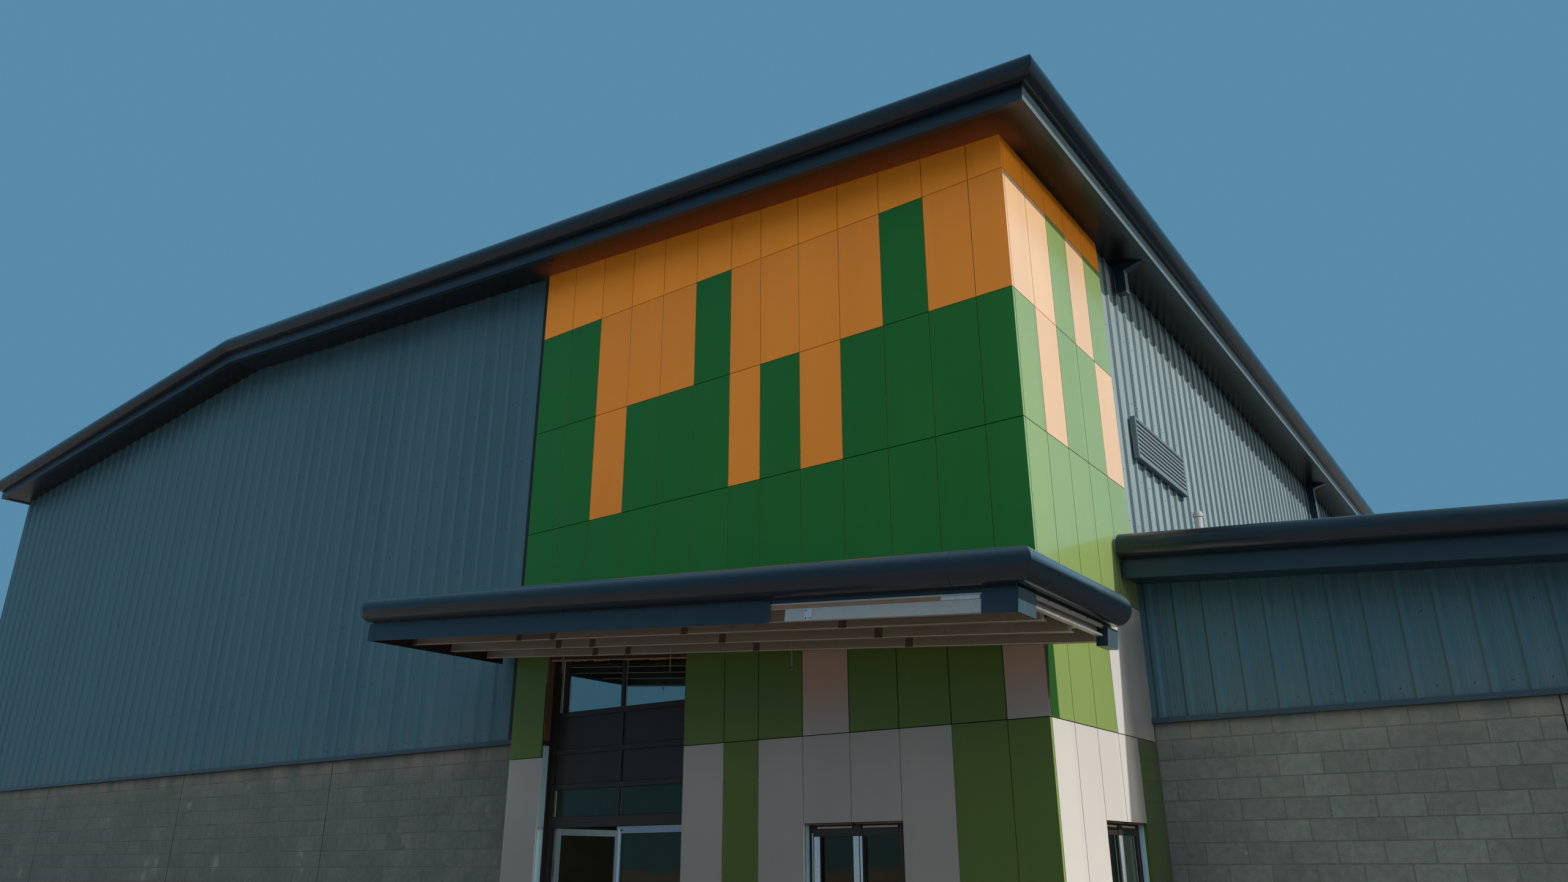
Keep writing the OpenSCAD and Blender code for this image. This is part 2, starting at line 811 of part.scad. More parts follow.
module wing_fascia() color(roll_blue) from_corner() {
    out = wing_overhang;
    len = (wing_w + out) / cos(wing_pitch);
    inner = wing_w / cos(wing_pitch) + 4;
    edge = out - sheet_t - soffit_gap;
    wing_roof_frame() {
        translate([wing_gap, wing_y - out, 0]) fascia_run(len - wing_gap, wing_fascia_h, lip_drop, 0, 1);
        translate([len, wing_y - out, 0])
            rotate([0, 0, 90]) fascia_run(wing_d + 2 * out, wing_fascia_h, lip_drop, 1, 1);
        translate([len, wing_y + wing_d + out, 0])
            rotate([0, 0, 180]) fascia_run(len - wing_gap, wing_fascia_h, lip_drop, 1, 0);
        linear_extrude(sheet_t) {
            for (y = [[-edge, -rib_h - seat], [wing_d + rib_h + seat, wing_d + edge]])
                translate([wing_gap, wing_y + y[0]])
                    square([len - wing_gap - sheet_t - soffit_gap, y[1] - y[0]]);
            translate([inner + rib_h, wing_y - rib_h])
                square([len - inner - rib_h - sheet_t - soffit_gap, wing_d + 2 * rib_h]);
        }
    }
}

module wing_roof_roll() color(roll_blue) from_corner() {
    out = wing_overhang + roll_out;
    len = (wing_w + out) / cos(wing_pitch);
    start = wing_gap + roll_back + roll_r;
    wing_roof_frame()
        translate([0, 0, wing_roll_z]) {
            translate([start, wing_y - out, 0]) {
                roll_run(len - start, 0, 1);
                roll_cap(-1);
            }
            translate([len, wing_y - out, 0]) rotate([0, 0, 90]) roll_run(wing_d + 2 * out, 1, 1);
            translate([len, wing_y + wing_d + out, 0]) rotate([0, 0, 180]) roll_run(len - wing_gap, 1, 0);
        }
}

// Canopy
module canopy_tilted() {
    translate([corner_x + canopy_side, -recess, canopy_z]) rotate([0, canopy_pitch, 0]) children();
}

// Open channel rolled from sheet, web towards -Y
module channel_section(depth, h, t = steel_t) {
    difference() {
        square([depth, h]);
        translate([t, t]) square([depth, h - 2 * t]);
    }
}

module canopy_frame() color(zinc) canopy_tilted() {
    for (y = purlin_ys)
        translate([0, y - purlin_w / 2, purlin_z])
            extrude_x(steel_ends[0], steel_ends[1]) channel_section(purlin_w, purlin_top - purlin_z);
    translate([0, channel_front, channel_z])
        extrude_x(steel_ends[0], steel_ends[1]) channel_section(purlin_w, channel_h);
    translate([0, channel_front, purlin_top - angle_h])
        extrude_x(steel_ends[0], steel_ends[1]) {
            square([steel_t, angle_h]);
            translate([0, angle_h - steel_t]) square([purlin_w + 20, steel_t]);
        }
    for (x = arm_xs) {
        translate([x - arm_w / 2, arm_front, purlin_top])
            cube([arm_w, -arm_front - seat, arm_h - seat]);
        translate([x - arm_w / 2, channel_front + steel_t, channel_z])
            cube([arm_w, steel_t, purlin_top - channel_z]);
    }
    side_start = box_l - canopy_out + seat;
    side_end = end_box_back - end_box_l - seat;
    translate([steel_ends[1], side_end, side_channel_top - side_channel_h])
        rotate([0, 0, -90])
            extrude_x(0, side_end - side_start) lipped_section(-steel_ends[1], side_channel_h);
}

// Channel with a lip on each flange
module lipped_section(depth, h, t = steel_t) {
    channel_section(depth, h, t);
    translate([depth - t, 0]) square([t, side_lips[0]]);
    translate([depth - t, h - side_lips[1]]) square([t, side_lips[1]]);
}

module canopy_deck() color(roll_blue) canopy_tilted() {
    translate([-canopy_l, -canopy_out, canopy_deck_z])
        cube([canopy_l, canopy_out - seat, canopy_deck_t]);
}

module canopy_fascia() color(roll_blue) canopy_tilted() {
    h = canopy_fascia_h;
    translate([-canopy_l, -canopy_out, 0]) cube([fascia_left_l, sheet_t, h]);
    translate([-canopy_l, -canopy_out + sheet_t + seat, 0])
        cube([sheet_t, canopy_out - sheet_t - 2 * seat, h]);
    translate([-box_w, -canopy_out, 0]) cube([box_w, sheet_t, h]);
    translate([-sheet_t, -canopy_out + sheet_t + seat, 0])
        cube([sheet_t, box_l - sheet_t - seat, h]);
    translate([steel_ends[1] + seat, end_box_back - end_box_l, 0])
        cube([end_box_w - steel_ends[1] - seat, end_box_l, end_box_h]);
}

module canopy_roll() color(roll_blue) canopy_tilted() {
    side_l = canopy_out + roll_out + side_run_end;
    turn_x = roll_out - roll_back - seat;
    under = canopy_roll_z - roll_r + 2;
    translate([0, 0, canopy_roll_z]) {
        translate([-canopy_l + roll_back, -canopy_out - roll_out, 0]) {
            roll_run(canopy_l - roll_back + roll_out, 0, 1);
            roll_cap(-1);
        }
        translate([roll_out, -canopy_out - roll_out, 0])
            rotate([0, 0, 90]) {
                roll_run(side_l, 1, 0);
                translate([side_l, 0, 0]) roll_cap(1);
            }
        translate([turn_x, side_run_end + roll_back, 0])
            rotate([0, 0, 180]) roll_run(canopy_side + 15 + turn_x);
    }
    translate([steel_ends[0], channel_front, purlin_top + seat])
        cube([-steel_ends[0] - strip_in - seat, strip_t, under - purlin_top - seat]);
    translate([-strip_in, channel_front + 2 * strip_t, side_channel_top + seat])
        cube([
            strip_t,
            end_box_back - channel_front - 2 * strip_t,
            under - side_channel_top - seat]);
}

// Curtain wall in the doorway
module entrance_frame() color(anthracite) {
    half = door_w / 2 - seat;
    for (x = [-half, half - member_w])
        translate([x, 0, floor_z]) cube([member_w, member_d, door_top - floor_z - seat]);
    translate([-member_w / 2, 0, head_rail_z])
        cube([member_w, member_d, door_top - head_rail_z - seat]);
    translate([-half, 0, head_rail_z]) cube([2 * half, member_d, head_rail_h]);
    for (z = transoms)
        translate([-half, 0, z - member_w / 2]) cube([2 * half, member_d, member_w]);
    translate([-half, 0, door_top - member_w - seat]) cube([2 * half, member_d, member_w]);
    for (i = [0:1])
        translate([-half, glass_y, transoms[i]])
            cube([2 * half, spandrel_t, transoms[i + 1] - transoms[i]]);
    for (side = [-1, 1]) {
        translate([side * hinge_off, hinge_y, floor_z])
            cylinder(r = pivot_r, h = leaf_z - floor_z - seat);
        translate([side * hinge_off, hinge_y, leaf_z + door_h + seat])
            cylinder(r = pivot_r, h = head_rail_z - leaf_z - door_h);
    }
}

// Fixed glass
module glazing() color("#9fb9c4", 0.4) {
    clear = door_w / 2 - seat - member_w - member_w / 2 - 2 * seat;
    for (side = [0, 1])
        translate([side * (clear + member_w + 2 * seat) - clear - member_w / 2 - seat, 0, 0]) {
            translate([0, glass_y, head_rail_z + head_rail_h + seat])
                cube([clear, glass_t, transoms[0] - member_w / 2 - head_rail_z - head_rail_h - 2 * seat]);
            translate([0, glass_y, transoms[2] + member_w / 2 + seat])
                cube([clear, glass_t, door_top - member_w - transoms[2] - member_w / 2 - 3 * seat]);
        }
    from_corner() {
        translate([(window_l + window_r) / 2, window_recess, 0]) window_panes(window_r - window_l);
        translate([-window_recess, (side_window_l + side_window_r) / 2, 0])
            rotate([0, 0, 90]) window_panes(side_window_r - side_window_l);
    }
}

// Glass of the two lights of a window, each held in its sash
module window_panes(w) {
    light = w / 2 - 1.5 * member_w;
    for (x = [-member_w / 2 - light, member_w / 2])
        translate([x + sash_w + seat, glass_y, sill_z + member_w + sash_w + seat])
            cube([
                light - 2 * (sash_w + seat),
                glass_t,
                head_z - sill_z - 2 * (member_w + sash_w + seat)]);
}

module window_frame(w) {
    light = w / 2 - 1.5 * member_w;
    light_h = head_z - sill_z - 2 * member_w;
    difference() {
        translate([-w / 2 + seat, 0, sill_z + seat])
            cube([w - 2 * seat, member_d, head_z - sill_z - 2 * seat]);
        for (x = [-w / 2 + member_w, member_w / 2])
            translate([x, -1, sill_z + member_w]) cube([light, member_d + 2, light_h]);
    }
    for (x = [-w / 2 + member_w, member_w / 2])
        translate([x, -sash_out, sill_z + member_w])
            difference() {
                cube([light, sash_d, light_h]);
                translate([sash_w, -1, sash_w])
                    cube([light - 2 * sash_w, sash_d + 2, light_h - 2 * sash_w]);
            }
}

module window_frames() color(anthracite) from_corner() {
    translate([(window_l + window_r) / 2, window_recess, 0]) window_frame(window_r - window_l);
    translate([-window_recess, (side_window_l + side_window_r) / 2, 0])
        rotate([0, 0, 90]) window_frame(side_window_r - side_window_l);
}

// Door leaves. A leaf lies along +X from its hinge line, its inner face at Y = 0
module leaf() {
    translate([0, -leaf_t, leaf_z])
        difference() {
            cube([leaf_w, leaf_t, door_h]);
            translate([stile_w, -1, foot_rail_h])
                cube([leaf_w - 2 * stile_w, leaf_t + 2, door_h - foot_rail_h - stile_w]);
        }
    translate([leaf_w - stile_w / 2, -leaf_t, leaf_z + handle_z]) pull_handle();
}

// Round pull handle on two short arms, standing out towards -Y
module pull_handle() {
    reach = 45;
    translate([0, -reach, 0]) cylinder(r = handle_r, h = handle_h);
    for (z = [3 * handle_r, handle_h - 3 * handle_r])
        translate([0, 0, z]) rotate([90, 0, 0]) cylinder(r = handle_r * 0.8, h = reach);
}

module leaf_glass() {
    translate([stile_w + seat, -(leaf_t + glass_t) / 2, leaf_z + foot_rail_h + seat])
        cube([
            leaf_w - 2 * stile_w - 2 * seat,
            glass_t,
            door_h - foot_rail_h - stile_w - 2 * seat]);
}

module at_left_hinge() {
    translate([-hinge_off, hinge_y, 0]) rotate([0, 0, 90]) children();
}

module at_right_hinge() {
    translate([hinge_off, hinge_y, 0]) mirror([1, 0, 0]) children();
}

module door_left() color(silver) at_left_hinge() leaf();

module door_left_glass() color("#9fb9c4", 0.4) at_left_hinge() leaf_glass();

module door_right() color(silver) at_right_hinge() leaf();

module door_right_glass() color("#9fb9c4", 0.4) at_right_hinge() leaf_glass();

floor_slab();
entry_wall_left();
entry_wall_right();
entry_wall_over();
entry_side_wall();
panels_orange();
panels_emerald();
panels_moss();
panels_pale();
hall_front_plinth();
hall_front_cladding();
hall_left_plinth();
hall_left_cladding();
hall_rear_plinth();
hall_rear_cladding();
hall_side_plinth();
hall_side_cladding();
flashings();
hall_roof();
hall_soffit();
hall_fascia();
hall_roof_roll();
louvre();
rainwater_pipes();
vent_pipe();
wing_front_plinth();
wing_front_cladding();
wing_end_plinth();
wing_end_cladding();
wing_rear_plinth();
wing_rear_cladding();
wing_roof();
wing_fascia();
wing_roof_roll();
canopy_frame();
canopy_deck();
canopy_fascia();
canopy_roll();
entrance_frame();
glazing();
window_frames();
door_left();
door_left_glass();
door_right();
door_right_glass();
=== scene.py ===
import random
from math import ceil, cos, pi, radians, sin, tan

import bmesh
import bpy
from bpy.props import FloatProperty, FloatVectorProperty, PointerProperty
from mathutils import Matrix, Vector


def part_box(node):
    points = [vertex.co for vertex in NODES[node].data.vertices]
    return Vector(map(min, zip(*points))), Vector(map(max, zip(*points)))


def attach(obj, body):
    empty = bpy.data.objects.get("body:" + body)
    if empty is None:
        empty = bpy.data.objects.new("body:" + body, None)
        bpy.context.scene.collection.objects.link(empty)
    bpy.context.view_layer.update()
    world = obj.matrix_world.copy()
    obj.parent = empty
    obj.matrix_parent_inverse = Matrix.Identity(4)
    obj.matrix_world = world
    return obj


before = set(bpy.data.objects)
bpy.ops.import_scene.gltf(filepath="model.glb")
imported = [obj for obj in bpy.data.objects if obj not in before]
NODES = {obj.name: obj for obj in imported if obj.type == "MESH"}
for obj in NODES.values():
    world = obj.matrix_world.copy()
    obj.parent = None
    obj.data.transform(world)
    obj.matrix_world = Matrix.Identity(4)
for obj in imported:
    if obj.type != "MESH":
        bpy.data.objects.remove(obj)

bl_info = {
    "name": "School building",
    "version": (1, 0, 0),
    "blender": (4, 5, 0),
    "location": "View3D > Sidebar > School",
    "description": "Finishes and small pieces of a metal-clad school building with a panelled entrance",
    "category": "Object",
}

# The CAD boxes that the pieces are laid out from; places are counted from the corner of the panels
BOX = {name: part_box(name) for name in NODES}
CORNER = Vector((BOX["panels_pale"][1].x, BOX["panels_pale"][0].y, 0))

# Measures of the CAD model, in metres
RIB = 0.336
RIB_OUT = 0.032
SETBACK = 0.08
HALL_W, HALL_D, EAVES, RIDGE_RUN, HALL_OUT = 26.52, 30, 9.8, 16.35, 0.575
WING_W, WING_FRONT, WING_REAR, WING_OUT = 8.2, 3.055, 15.055, 0.595
PANELS_W, PANEL_W, PANEL_H, TOP_ROW = 7.665, 0.611, 1.557, 9.342
PLINTH_H, FIRST_BED = 3.325, 0.205
PITCH, WING_PITCH, CANOPY_PITCH = radians(4.95), radians(5.2), radians(5)


def sloped(origin, pitch):
    """A place whose X falls by a pitch."""
    return Matrix.Translation(origin) @ Matrix.Rotation(pitch, 4, "Y")


CANOPY = sloped(CORNER + Vector((0.705, 0, 3.66)), CANOPY_PITCH)
WING_ROOF = sloped(CORNER + Vector((0, 0, 4.99)), WING_PITCH)
RIDGE = CORNER + Vector((-RIDGE_RUN, 0, EAVES + RIDGE_RUN * tan(PITCH)))
RIGHT_SLOPE, LEFT_SLOPE = sloped(RIDGE, PITCH), sloped(RIDGE, -PITCH)

# For each side of the building, the way along its walls and the way out of them
FRONT, RIGHT = ((1, 0, 0), (0, -1, 0)), ((0, 1, 0), (1, 0, 0))
REAR, LEFT = ((-1, 0, 0), (0, 1, 0)), ((0, -1, 0), (-1, 0, 0))


def colour(name, what, value):
    return FloatVectorProperty(name=name, description="Colour of " + what, subtype="COLOR", size=3,
                               min=0, max=1, default=value)


def length(name, what, value):
    return FloatProperty(name=name, description=what, unit="LENGTH", default=value, min=0.0005)


class SchoolColours(bpy.types.PropertyGroup):
    orange: colour("Orange", "the orange panels", (0.9, 0.3, 0.03))
    emerald: colour("Emerald", "the emerald panels", (0.012, 0.155, 0.02))
    moss: colour("Moss", "the moss green panels", (0.098, 0.165, 0.026))
    pale: colour("Pale", "the pale panels", (0.38, 0.37, 0.36))
    sheet: colour("Wall sheets", "the profiled wall sheets", (0.055, 0.128, 0.165))
    folded: colour("Folded metal", "flashings and fascias", (0.014, 0.033, 0.052))
    roll: colour("Round edge", "the round roof edge", (0.007, 0.013, 0.021))
    soffit: colour("Soffit", "the boards under the overhang", (0.012, 0.01, 0.009))
    block: colour("Blocks", "the concrete blocks", (0.145, 0.17, 0.158))
    mortar: colour("Mortar", "the joints between the blocks", (0.15, 0.14, 0.118))
    zinc: colour("Galvanised steel", "the canopy frame", (0.52, 0.5, 0.47))
    anthracite: colour("Frames", "the window and doorway frames", (0.032, 0.027, 0.025))
    silver: colour("Door frames", "the door leaves", (0.27, 0.34, 0.41))
    timber: colour("Timber", "the bare strip round the doorway", (0.15, 0.078, 0.048))


class SchoolSizes(bpy.types.PropertyGroup):
    block_l: length("Block length", "Length of a block with its joint", 0.45)
    block_h: length("Block height", "Height of a block with its joint", 0.225)
    joint: length("Mortar joint", "Width of a mortar joint", 0.01)
    block_out: length("Block face", "How far a block stands proud of its joint", 0.0035)
    rod: length("Rod radius", "Radius of the drop rods under the canopy", 0.004)
    strap: length("Strap width", "Width of the straps over joints of the round edge", 0.06)


def colours():
    return bpy.context.scene.school_colours


def sizes():
    return bpy.context.scene.school_sizes


FINISH = {}


class Form:
    """Points and faces of one piece, with a finish and a tint for each face."""

    def __init__(self, place=Matrix()):
        self.place, self.points, self.faces, self.slots, self.tints = place, [], [], [], []

    def add(self, points, faces, slot=0, place=None, tint=0.5):
        base, place = len(self.points), place or self.place
        self.points += [place @ Vector(p) for p in points]
        self.faces += [[base + i for i in face] for face in faces]
        self.slots += [slot] * len(faces)
        self.tints += [tint] * len(faces)

    def bar(self, low, high, edge=0.002, slot=0, place=None):
        """A straight piece with broken edges."""
        low, high = Vector(low), Vector(high)
        size = high - low
        edge = min(edge, min(size) * 0.45)
        bm = bmesh.new()
        bmesh.ops.create_cube(bm, size=1)
        for v in bm.verts:
            v.co = Vector([a + b * (c + 0.5) for a, b, c in zip(low, size, v.co)])
        bmesh.ops.bevel(bm, geom=bm.edges[:], offset=edge, segments=1, affect="EDGES", profile=0.5)
        bm.verts.index_update()
        self.add([v.co.copy() for v in bm.verts], [[v.index for v in f.verts] for f in bm.faces], slot, place)
        bm.free()

    def slab(self, low, high, out, edge, tint):
        """A face that stands out of a wall with chamfered sides; the wall is the plane Z = 0."""
        (x0, y0), (x1, y1) = low, high
        e = min(edge, (x1 - x0) * 0.4, (y1 - y0) * 0.4)
        outer = [(x0, y0, 0), (x1, y0, 0), (x1, y1, 0), (x0, y1, 0)]
        inner = [(x0 + e, y0 + e, out), (x1 - e, y0 + e, out), (x1 - e, y1 - e, out), (x0 + e, y1 - e, out)]
        sides = [[i, (i + 1) % 4, 4 + (i + 1) % 4, 4 + i] for i in range(4)]
        self.add(outer + inner, [[4, 5, 6, 7]] + sides, tint=tint)

    def turned(self, profile, sides, place, slot=0, caps=True):
        """A round piece about Z from (radius, height) pairs."""
        points = [(r * cos(2 * pi * i / sides), r * sin(2 * pi * i / sides), h)
                  for r, h in profile for i in range(sides)]
        last = (len(profile) - 1) * sides
        faces = [[k + i, k + (i + 1) % sides, k + sides + (i + 1) % sides, k + sides + i]
                 for k in range(0, last, sides) for i in range(sides)]
        if caps:
            faces += [list(range(sides))[::-1], list(range(last, last + sides))]
        self.add(points, faces, slot, place)

    def strip(self, section, x0, x1, place, slot=0):
        """A closed (y, z) section drawn out along X."""
        n = len(section)
        points = [(x, y, z) for x in (x0, x1) for y, z in section]
        faces = [[i, (i + 1) % n, n + (i + 1) % n, n + i] for i in range(n)]
        self.add(points, faces + [list(range(n))[::-1], list(range(n, 2 * n))], slot, place)

    def build(self, name, slot_name, *finishes, body="building"):
        mesh = bpy.data.meshes.new(name)
        mesh.from_pydata(self.points, [], self.faces)
        for finish in finishes:
            mesh.materials.append(FINISH[finish])
        mesh.polygons.foreach_set("material_index", self.slots)
        tint = mesh.attributes.new("tint", "FLOAT", "FACE")
        tint.data.foreach_set("value", self.tints)
        bm = bmesh.new()
        bm.from_mesh(mesh)
        bmesh.ops.recalc_face_normals(bm, faces=bm.faces)
        bm.to_mesh(mesh)
        bm.free()
        piece = bpy.data.objects.new(name, mesh)
        bpy.context.collection.objects.link(piece)
        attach(piece, body)


# Node work

def put(tree, kind, links=None, **settings):
    """Adds a shader node. Sockets named in links get values or outputs; settings are its own fields."""
    node = tree.nodes.new("ShaderNode" + kind)
    for field, value in settings.items():
        setattr(node, field, value)
    for key, value in (links or {}).items():
        socket = node.inputs[key]
        if isinstance(value, bpy.types.NodeSocket):
            tree.links.new(value, socket)
        elif socket.type == "RGBA":
            socket.default_value = (*value[:3], 1)
        else:
            socket.default_value = value
    return node


def maths(tree, operation, *values, clamp=False):
    return put(tree, "Math", dict(enumerate(values)), operation=operation, use_clamp=clamp).outputs[0]


def ramp(tree, value, a, b):
    """Rises from 0 to 1 between a and b."""
    return put(tree, "MapRange", {0: value, 1: a, 2: b}, interpolation_type="SMOOTHSTEP").outputs[0]


def blend(tree, factor, a, b):
    return put(tree, "Mix", {0: factor, 6: a, 7: b}, data_type="RGBA").outputs[2]


def new_group(name, inputs, outputs):
    tree = bpy.data.node_groups.new(name, "ShaderNodeTree")
    kinds = {"value": "NodeSocketFloat", "vector": "NodeSocketVector", "colour": "NodeSocketColor"}
    for label, kind, default in inputs:
        socket = tree.interface.new_socket(label, in_out="INPUT", socket_type=kinds[kind])
        if default is not None:
            socket.default_value = default
    for label, kind in outputs:
        tree.interface.new_socket(label, in_out="OUTPUT", socket_type=kinds[kind])
    return tree, tree.nodes.new("NodeGroupInput").outputs, tree.nodes.new("NodeGroupOutput").inputs


def weathering_group():
    """Fine grain, broad clouds and upright streaks, each from 0 to 1."""
    tree, given, result = new_group(
        "weathering",
        [("Position", "vector", None), ("Grain", "value", 200.0), ("Clouds", "value", 0.5),
         ("Streaks", "value", 5.0)],
        [("Fine", "value"), ("Broad", "value"), ("Streak", "value")])
    where = given["Position"]
    flat = put(tree, "VectorMath", {0: where, 1: (1, 1, 0.05)}, operation="MULTIPLY").outputs[0]
    for label, at, scale, detail in (("Fine", where, "Grain", 3.0), ("Broad", where, "Clouds", 4.0),
                                     ("Streak", flat, "Streaks", 4.0)):
        noise = put(tree, "TexNoise", {"Vector": at, "Scale": given[scale], "Detail": detail})
        tree.links.new(ramp(tree, noise.outputs["Fac"], 0.25, 0.75), result[label])
    return tree


def tone_group():
    """Lightens or darkens a colour by a mask about its middle."""
    tree, given, result = new_group(
        "tone", [("Color", "colour", (0.5, 0.5, 0.5, 1)), ("Mask", "value", 0.5), ("Amount", "value", 0.1)],
        [("Color", "colour")])
    swing = maths(tree, "SUBTRACT", given["Mask"], 0.5)
    factor = maths(tree, "MULTIPLY_ADD", swing, given["Amount"], 1.0)
    scaled = put(tree, "VectorMath", {0: given["Color"], "Scale": factor}, operation="SCALE")
    tree.links.new(scaled.outputs[0], result["Color"])
    return tree


def cell_group():
    """One random value for each panel or sheet of a grid."""
    tree, given, result = new_group(
        "cells", [("Position", "vector", None), ("Size", "vector", (1, 1, 1)), ("Start", "vector", (0, 0, 0))],
        [("Random", "value")])
    value = given["Position"]
    for operation, other in (("SUBTRACT", {1: given["Start"]}), ("DIVIDE", {1: given["Size"]}), ("FLOOR", {})):
        value = put(tree, "VectorMath", {0: value, **other}, operation=operation).outputs[0]
    noise = put(tree, "TexWhiteNoise", {"Vector": value}, noise_dimensions="3D")
    tree.links.new(noise.outputs["Value"], result["Random"])
    return tree


def swage_group():
    """Height of the two small ridges in each pan between ribs."""
    tree, given, result = new_group(
        "swages", [("Along", "value", 0.0), ("First rib", "value", 0.0)], [("Height", "value")])
    moved = maths(tree, "SUBTRACT", given["Along"], given["First rib"])
    phase = maths(tree, "MULTIPLY", maths(tree, "FRACT", maths(tree, "DIVIDE", moved, RIB)), RIB)
    middle = maths(tree, "ABSOLUTE", maths(tree, "SUBTRACT", phase, RIB / 2))
    ridge = maths(tree, "ABSOLUTE", maths(tree, "SUBTRACT", middle, 0.042))
    tree.links.new(ramp(tree, ridge, 0.016, 0.005), result["Height"])
    return tree


GROUPS = {}


class Finish:
    """A material under construction: its tree, position, colour and height so far."""

    def __init__(self, name, base, roughness=0.5, metallic=0.0, coat=0.0, gloss=0.5, grain=200.0, clouds=0.5,
                 streaks=5.0):
        self.material = bpy.data.materials.new(name)
        self.material.use_nodes = True
        self.tree = self.material.node_tree
        self.position = put(self.tree, "TexCoord").outputs["Object"]
        self.x, self.y, self.z = put(self.tree, "SeparateXYZ", {0: self.position}).outputs
        self.wear = self.placed(
            "weathering", Position=self.position, Grain=grain, Clouds=clouds, Streaks=streaks)
        self.colour = put(self.tree, "RGB").outputs[0]
        self.colour.default_value = (*base[:3], 1)
        self.rough, self.height = roughness, None
        self.set({"Metallic": metallic, "Coat Weight": coat, "Coat Roughness": 0.15,
                  "Specular IOR Level": gloss})

    def set(self, values):
        """Puts constants or outputs into the Principled shader."""
        shader = self.tree.nodes["Principled BSDF"]
        for socket, value in values.items():
            if isinstance(value, bpy.types.NodeSocket):
                self.tree.links.new(value, shader.inputs[socket])
            else:
                shader.inputs[socket].default_value = value

    # Masks

    def placed(self, group, **links):
        links = {key.replace("_", " "): value for key, value in links.items()}
        return put(self.tree, "Group", links, node_tree=GROUPS[group]).outputs

    def maths(self, operation, *values, clamp=False):
        return maths(self.tree, operation, *values, clamp=clamp)

    def ramp(self, value, a, b):
        return ramp(self.tree, value, a, b)

    def both(self, mask, *others):
        for other in others:
            mask = self.maths("MULTIPLY", mask, other)
        return mask

    def without(self, mask, other):
        return self.maths("SUBTRACT", mask, other, clamp=True)

    def facing(self, axis):
        normal = put(self.tree, "NewGeometry").outputs["Normal"]
        return put(self.tree, "SeparateXYZ", {0: normal}).outputs[axis]

    def noise(self, scale, detail, roughness=0.5):
        links = {"Vector": self.position, "Scale": scale, "Detail": detail, "Roughness": roughness}
        return put(self.tree, "TexNoise", links).outputs["Fac"]

    def flakes(self, scale, output):
        return put(self.tree, "TexVoronoi", {"Vector": self.position, "Scale": scale}).outputs[output]

    def cells(self, size, start):
        return self.placed("cells", Position=self.position, Size=size, Start=start)["Random"]

    # Colour and height

    def tone(self, mask, amount):
        self.colour = self.placed("tone", Color=self.colour, Mask=mask, Amount=amount)["Color"]
        return self

    def tones(self, **amounts):
        """Tones by the layers of the weathering, in the order given."""
        for layer, amount in amounts.items():
            self.tone(self.wear[layer], amount)
        return self

    def cover(self, mask, over, strength=1.0):
        mask = self.maths("MULTIPLY", mask, strength, clamp=True)
        self.colour = blend(self.tree, mask, self.colour, over)
        return self

    def raise_by(self, value, factor=1.0):
        value = self.maths("MULTIPLY", value, factor)
        self.height = value if self.height is None else self.maths("ADD", self.height, value)
        return self

    def bumps(self, **factors):
        for layer, factor in factors.items():
            self.raise_by(self.wear[layer], factor)
        return self

    def done(self, mask, swing, depth):
        """Ends the material: a mask swings its roughness, the height makes bumps of a depth."""
        mask = self.wear[mask] if isinstance(mask, str) else mask
        bump = put(self.tree, "Bump", {"Height": self.height, "Distance": depth, "Strength": 1.0})
        self.set({"Base Color": self.colour, "Normal": bump.outputs[0],
                  "Roughness": self.maths("MULTIPLY_ADD", mask, swing, self.rough - swing / 2)})
        return self.material


def sheet_metal(name, along, first_rib, base):
    """Coated profiled sheet whose ribs repeat along X (0) or Y (1)."""
    f = Finish(name, base, 0.4, coat=0.08, gloss=0.35, grain=260, clouds=0.35, streaks=3.5)
    swage = f.placed("swages", Along=f.y if along else f.x, First_rib=first_rib)["Height"]
    sheet = f.cells((RIB * 3, RIB * 3, 50), (first_rib, first_rib, -10))
    f.tone(sheet, 0.07).tones(Streak=0.16, Broad=0.1).tone(swage, 0.1)
    # On walls running along X, the rib flanks that face right are painted lighter teal: a painted highlight.
    if not along:
        f.cover(f.ramp(f.facing(0), 0.3, 0.6), (0.07, 0.19, 0.25), 0.7)
    # On the sunlit side wall the rib flanks are painted darker: painted shade.
    if name.endswith("side_cladding"):
        f.cover(f.ramp(f.maths("ABSOLUTE", f.facing(1)), 0.2, 0.5), (0.04, 0.085, 0.105), 0.85)
    f.cover(f.both(f.ramp(f.z, 4.1, 3.35), f.wear["Streak"]), (0.14, 0.15, 0.14), 0.3)
    return f.raise_by(swage).bumps(Broad=0.35, Fine=0.01).done("Streak", 0.14, 0.004)


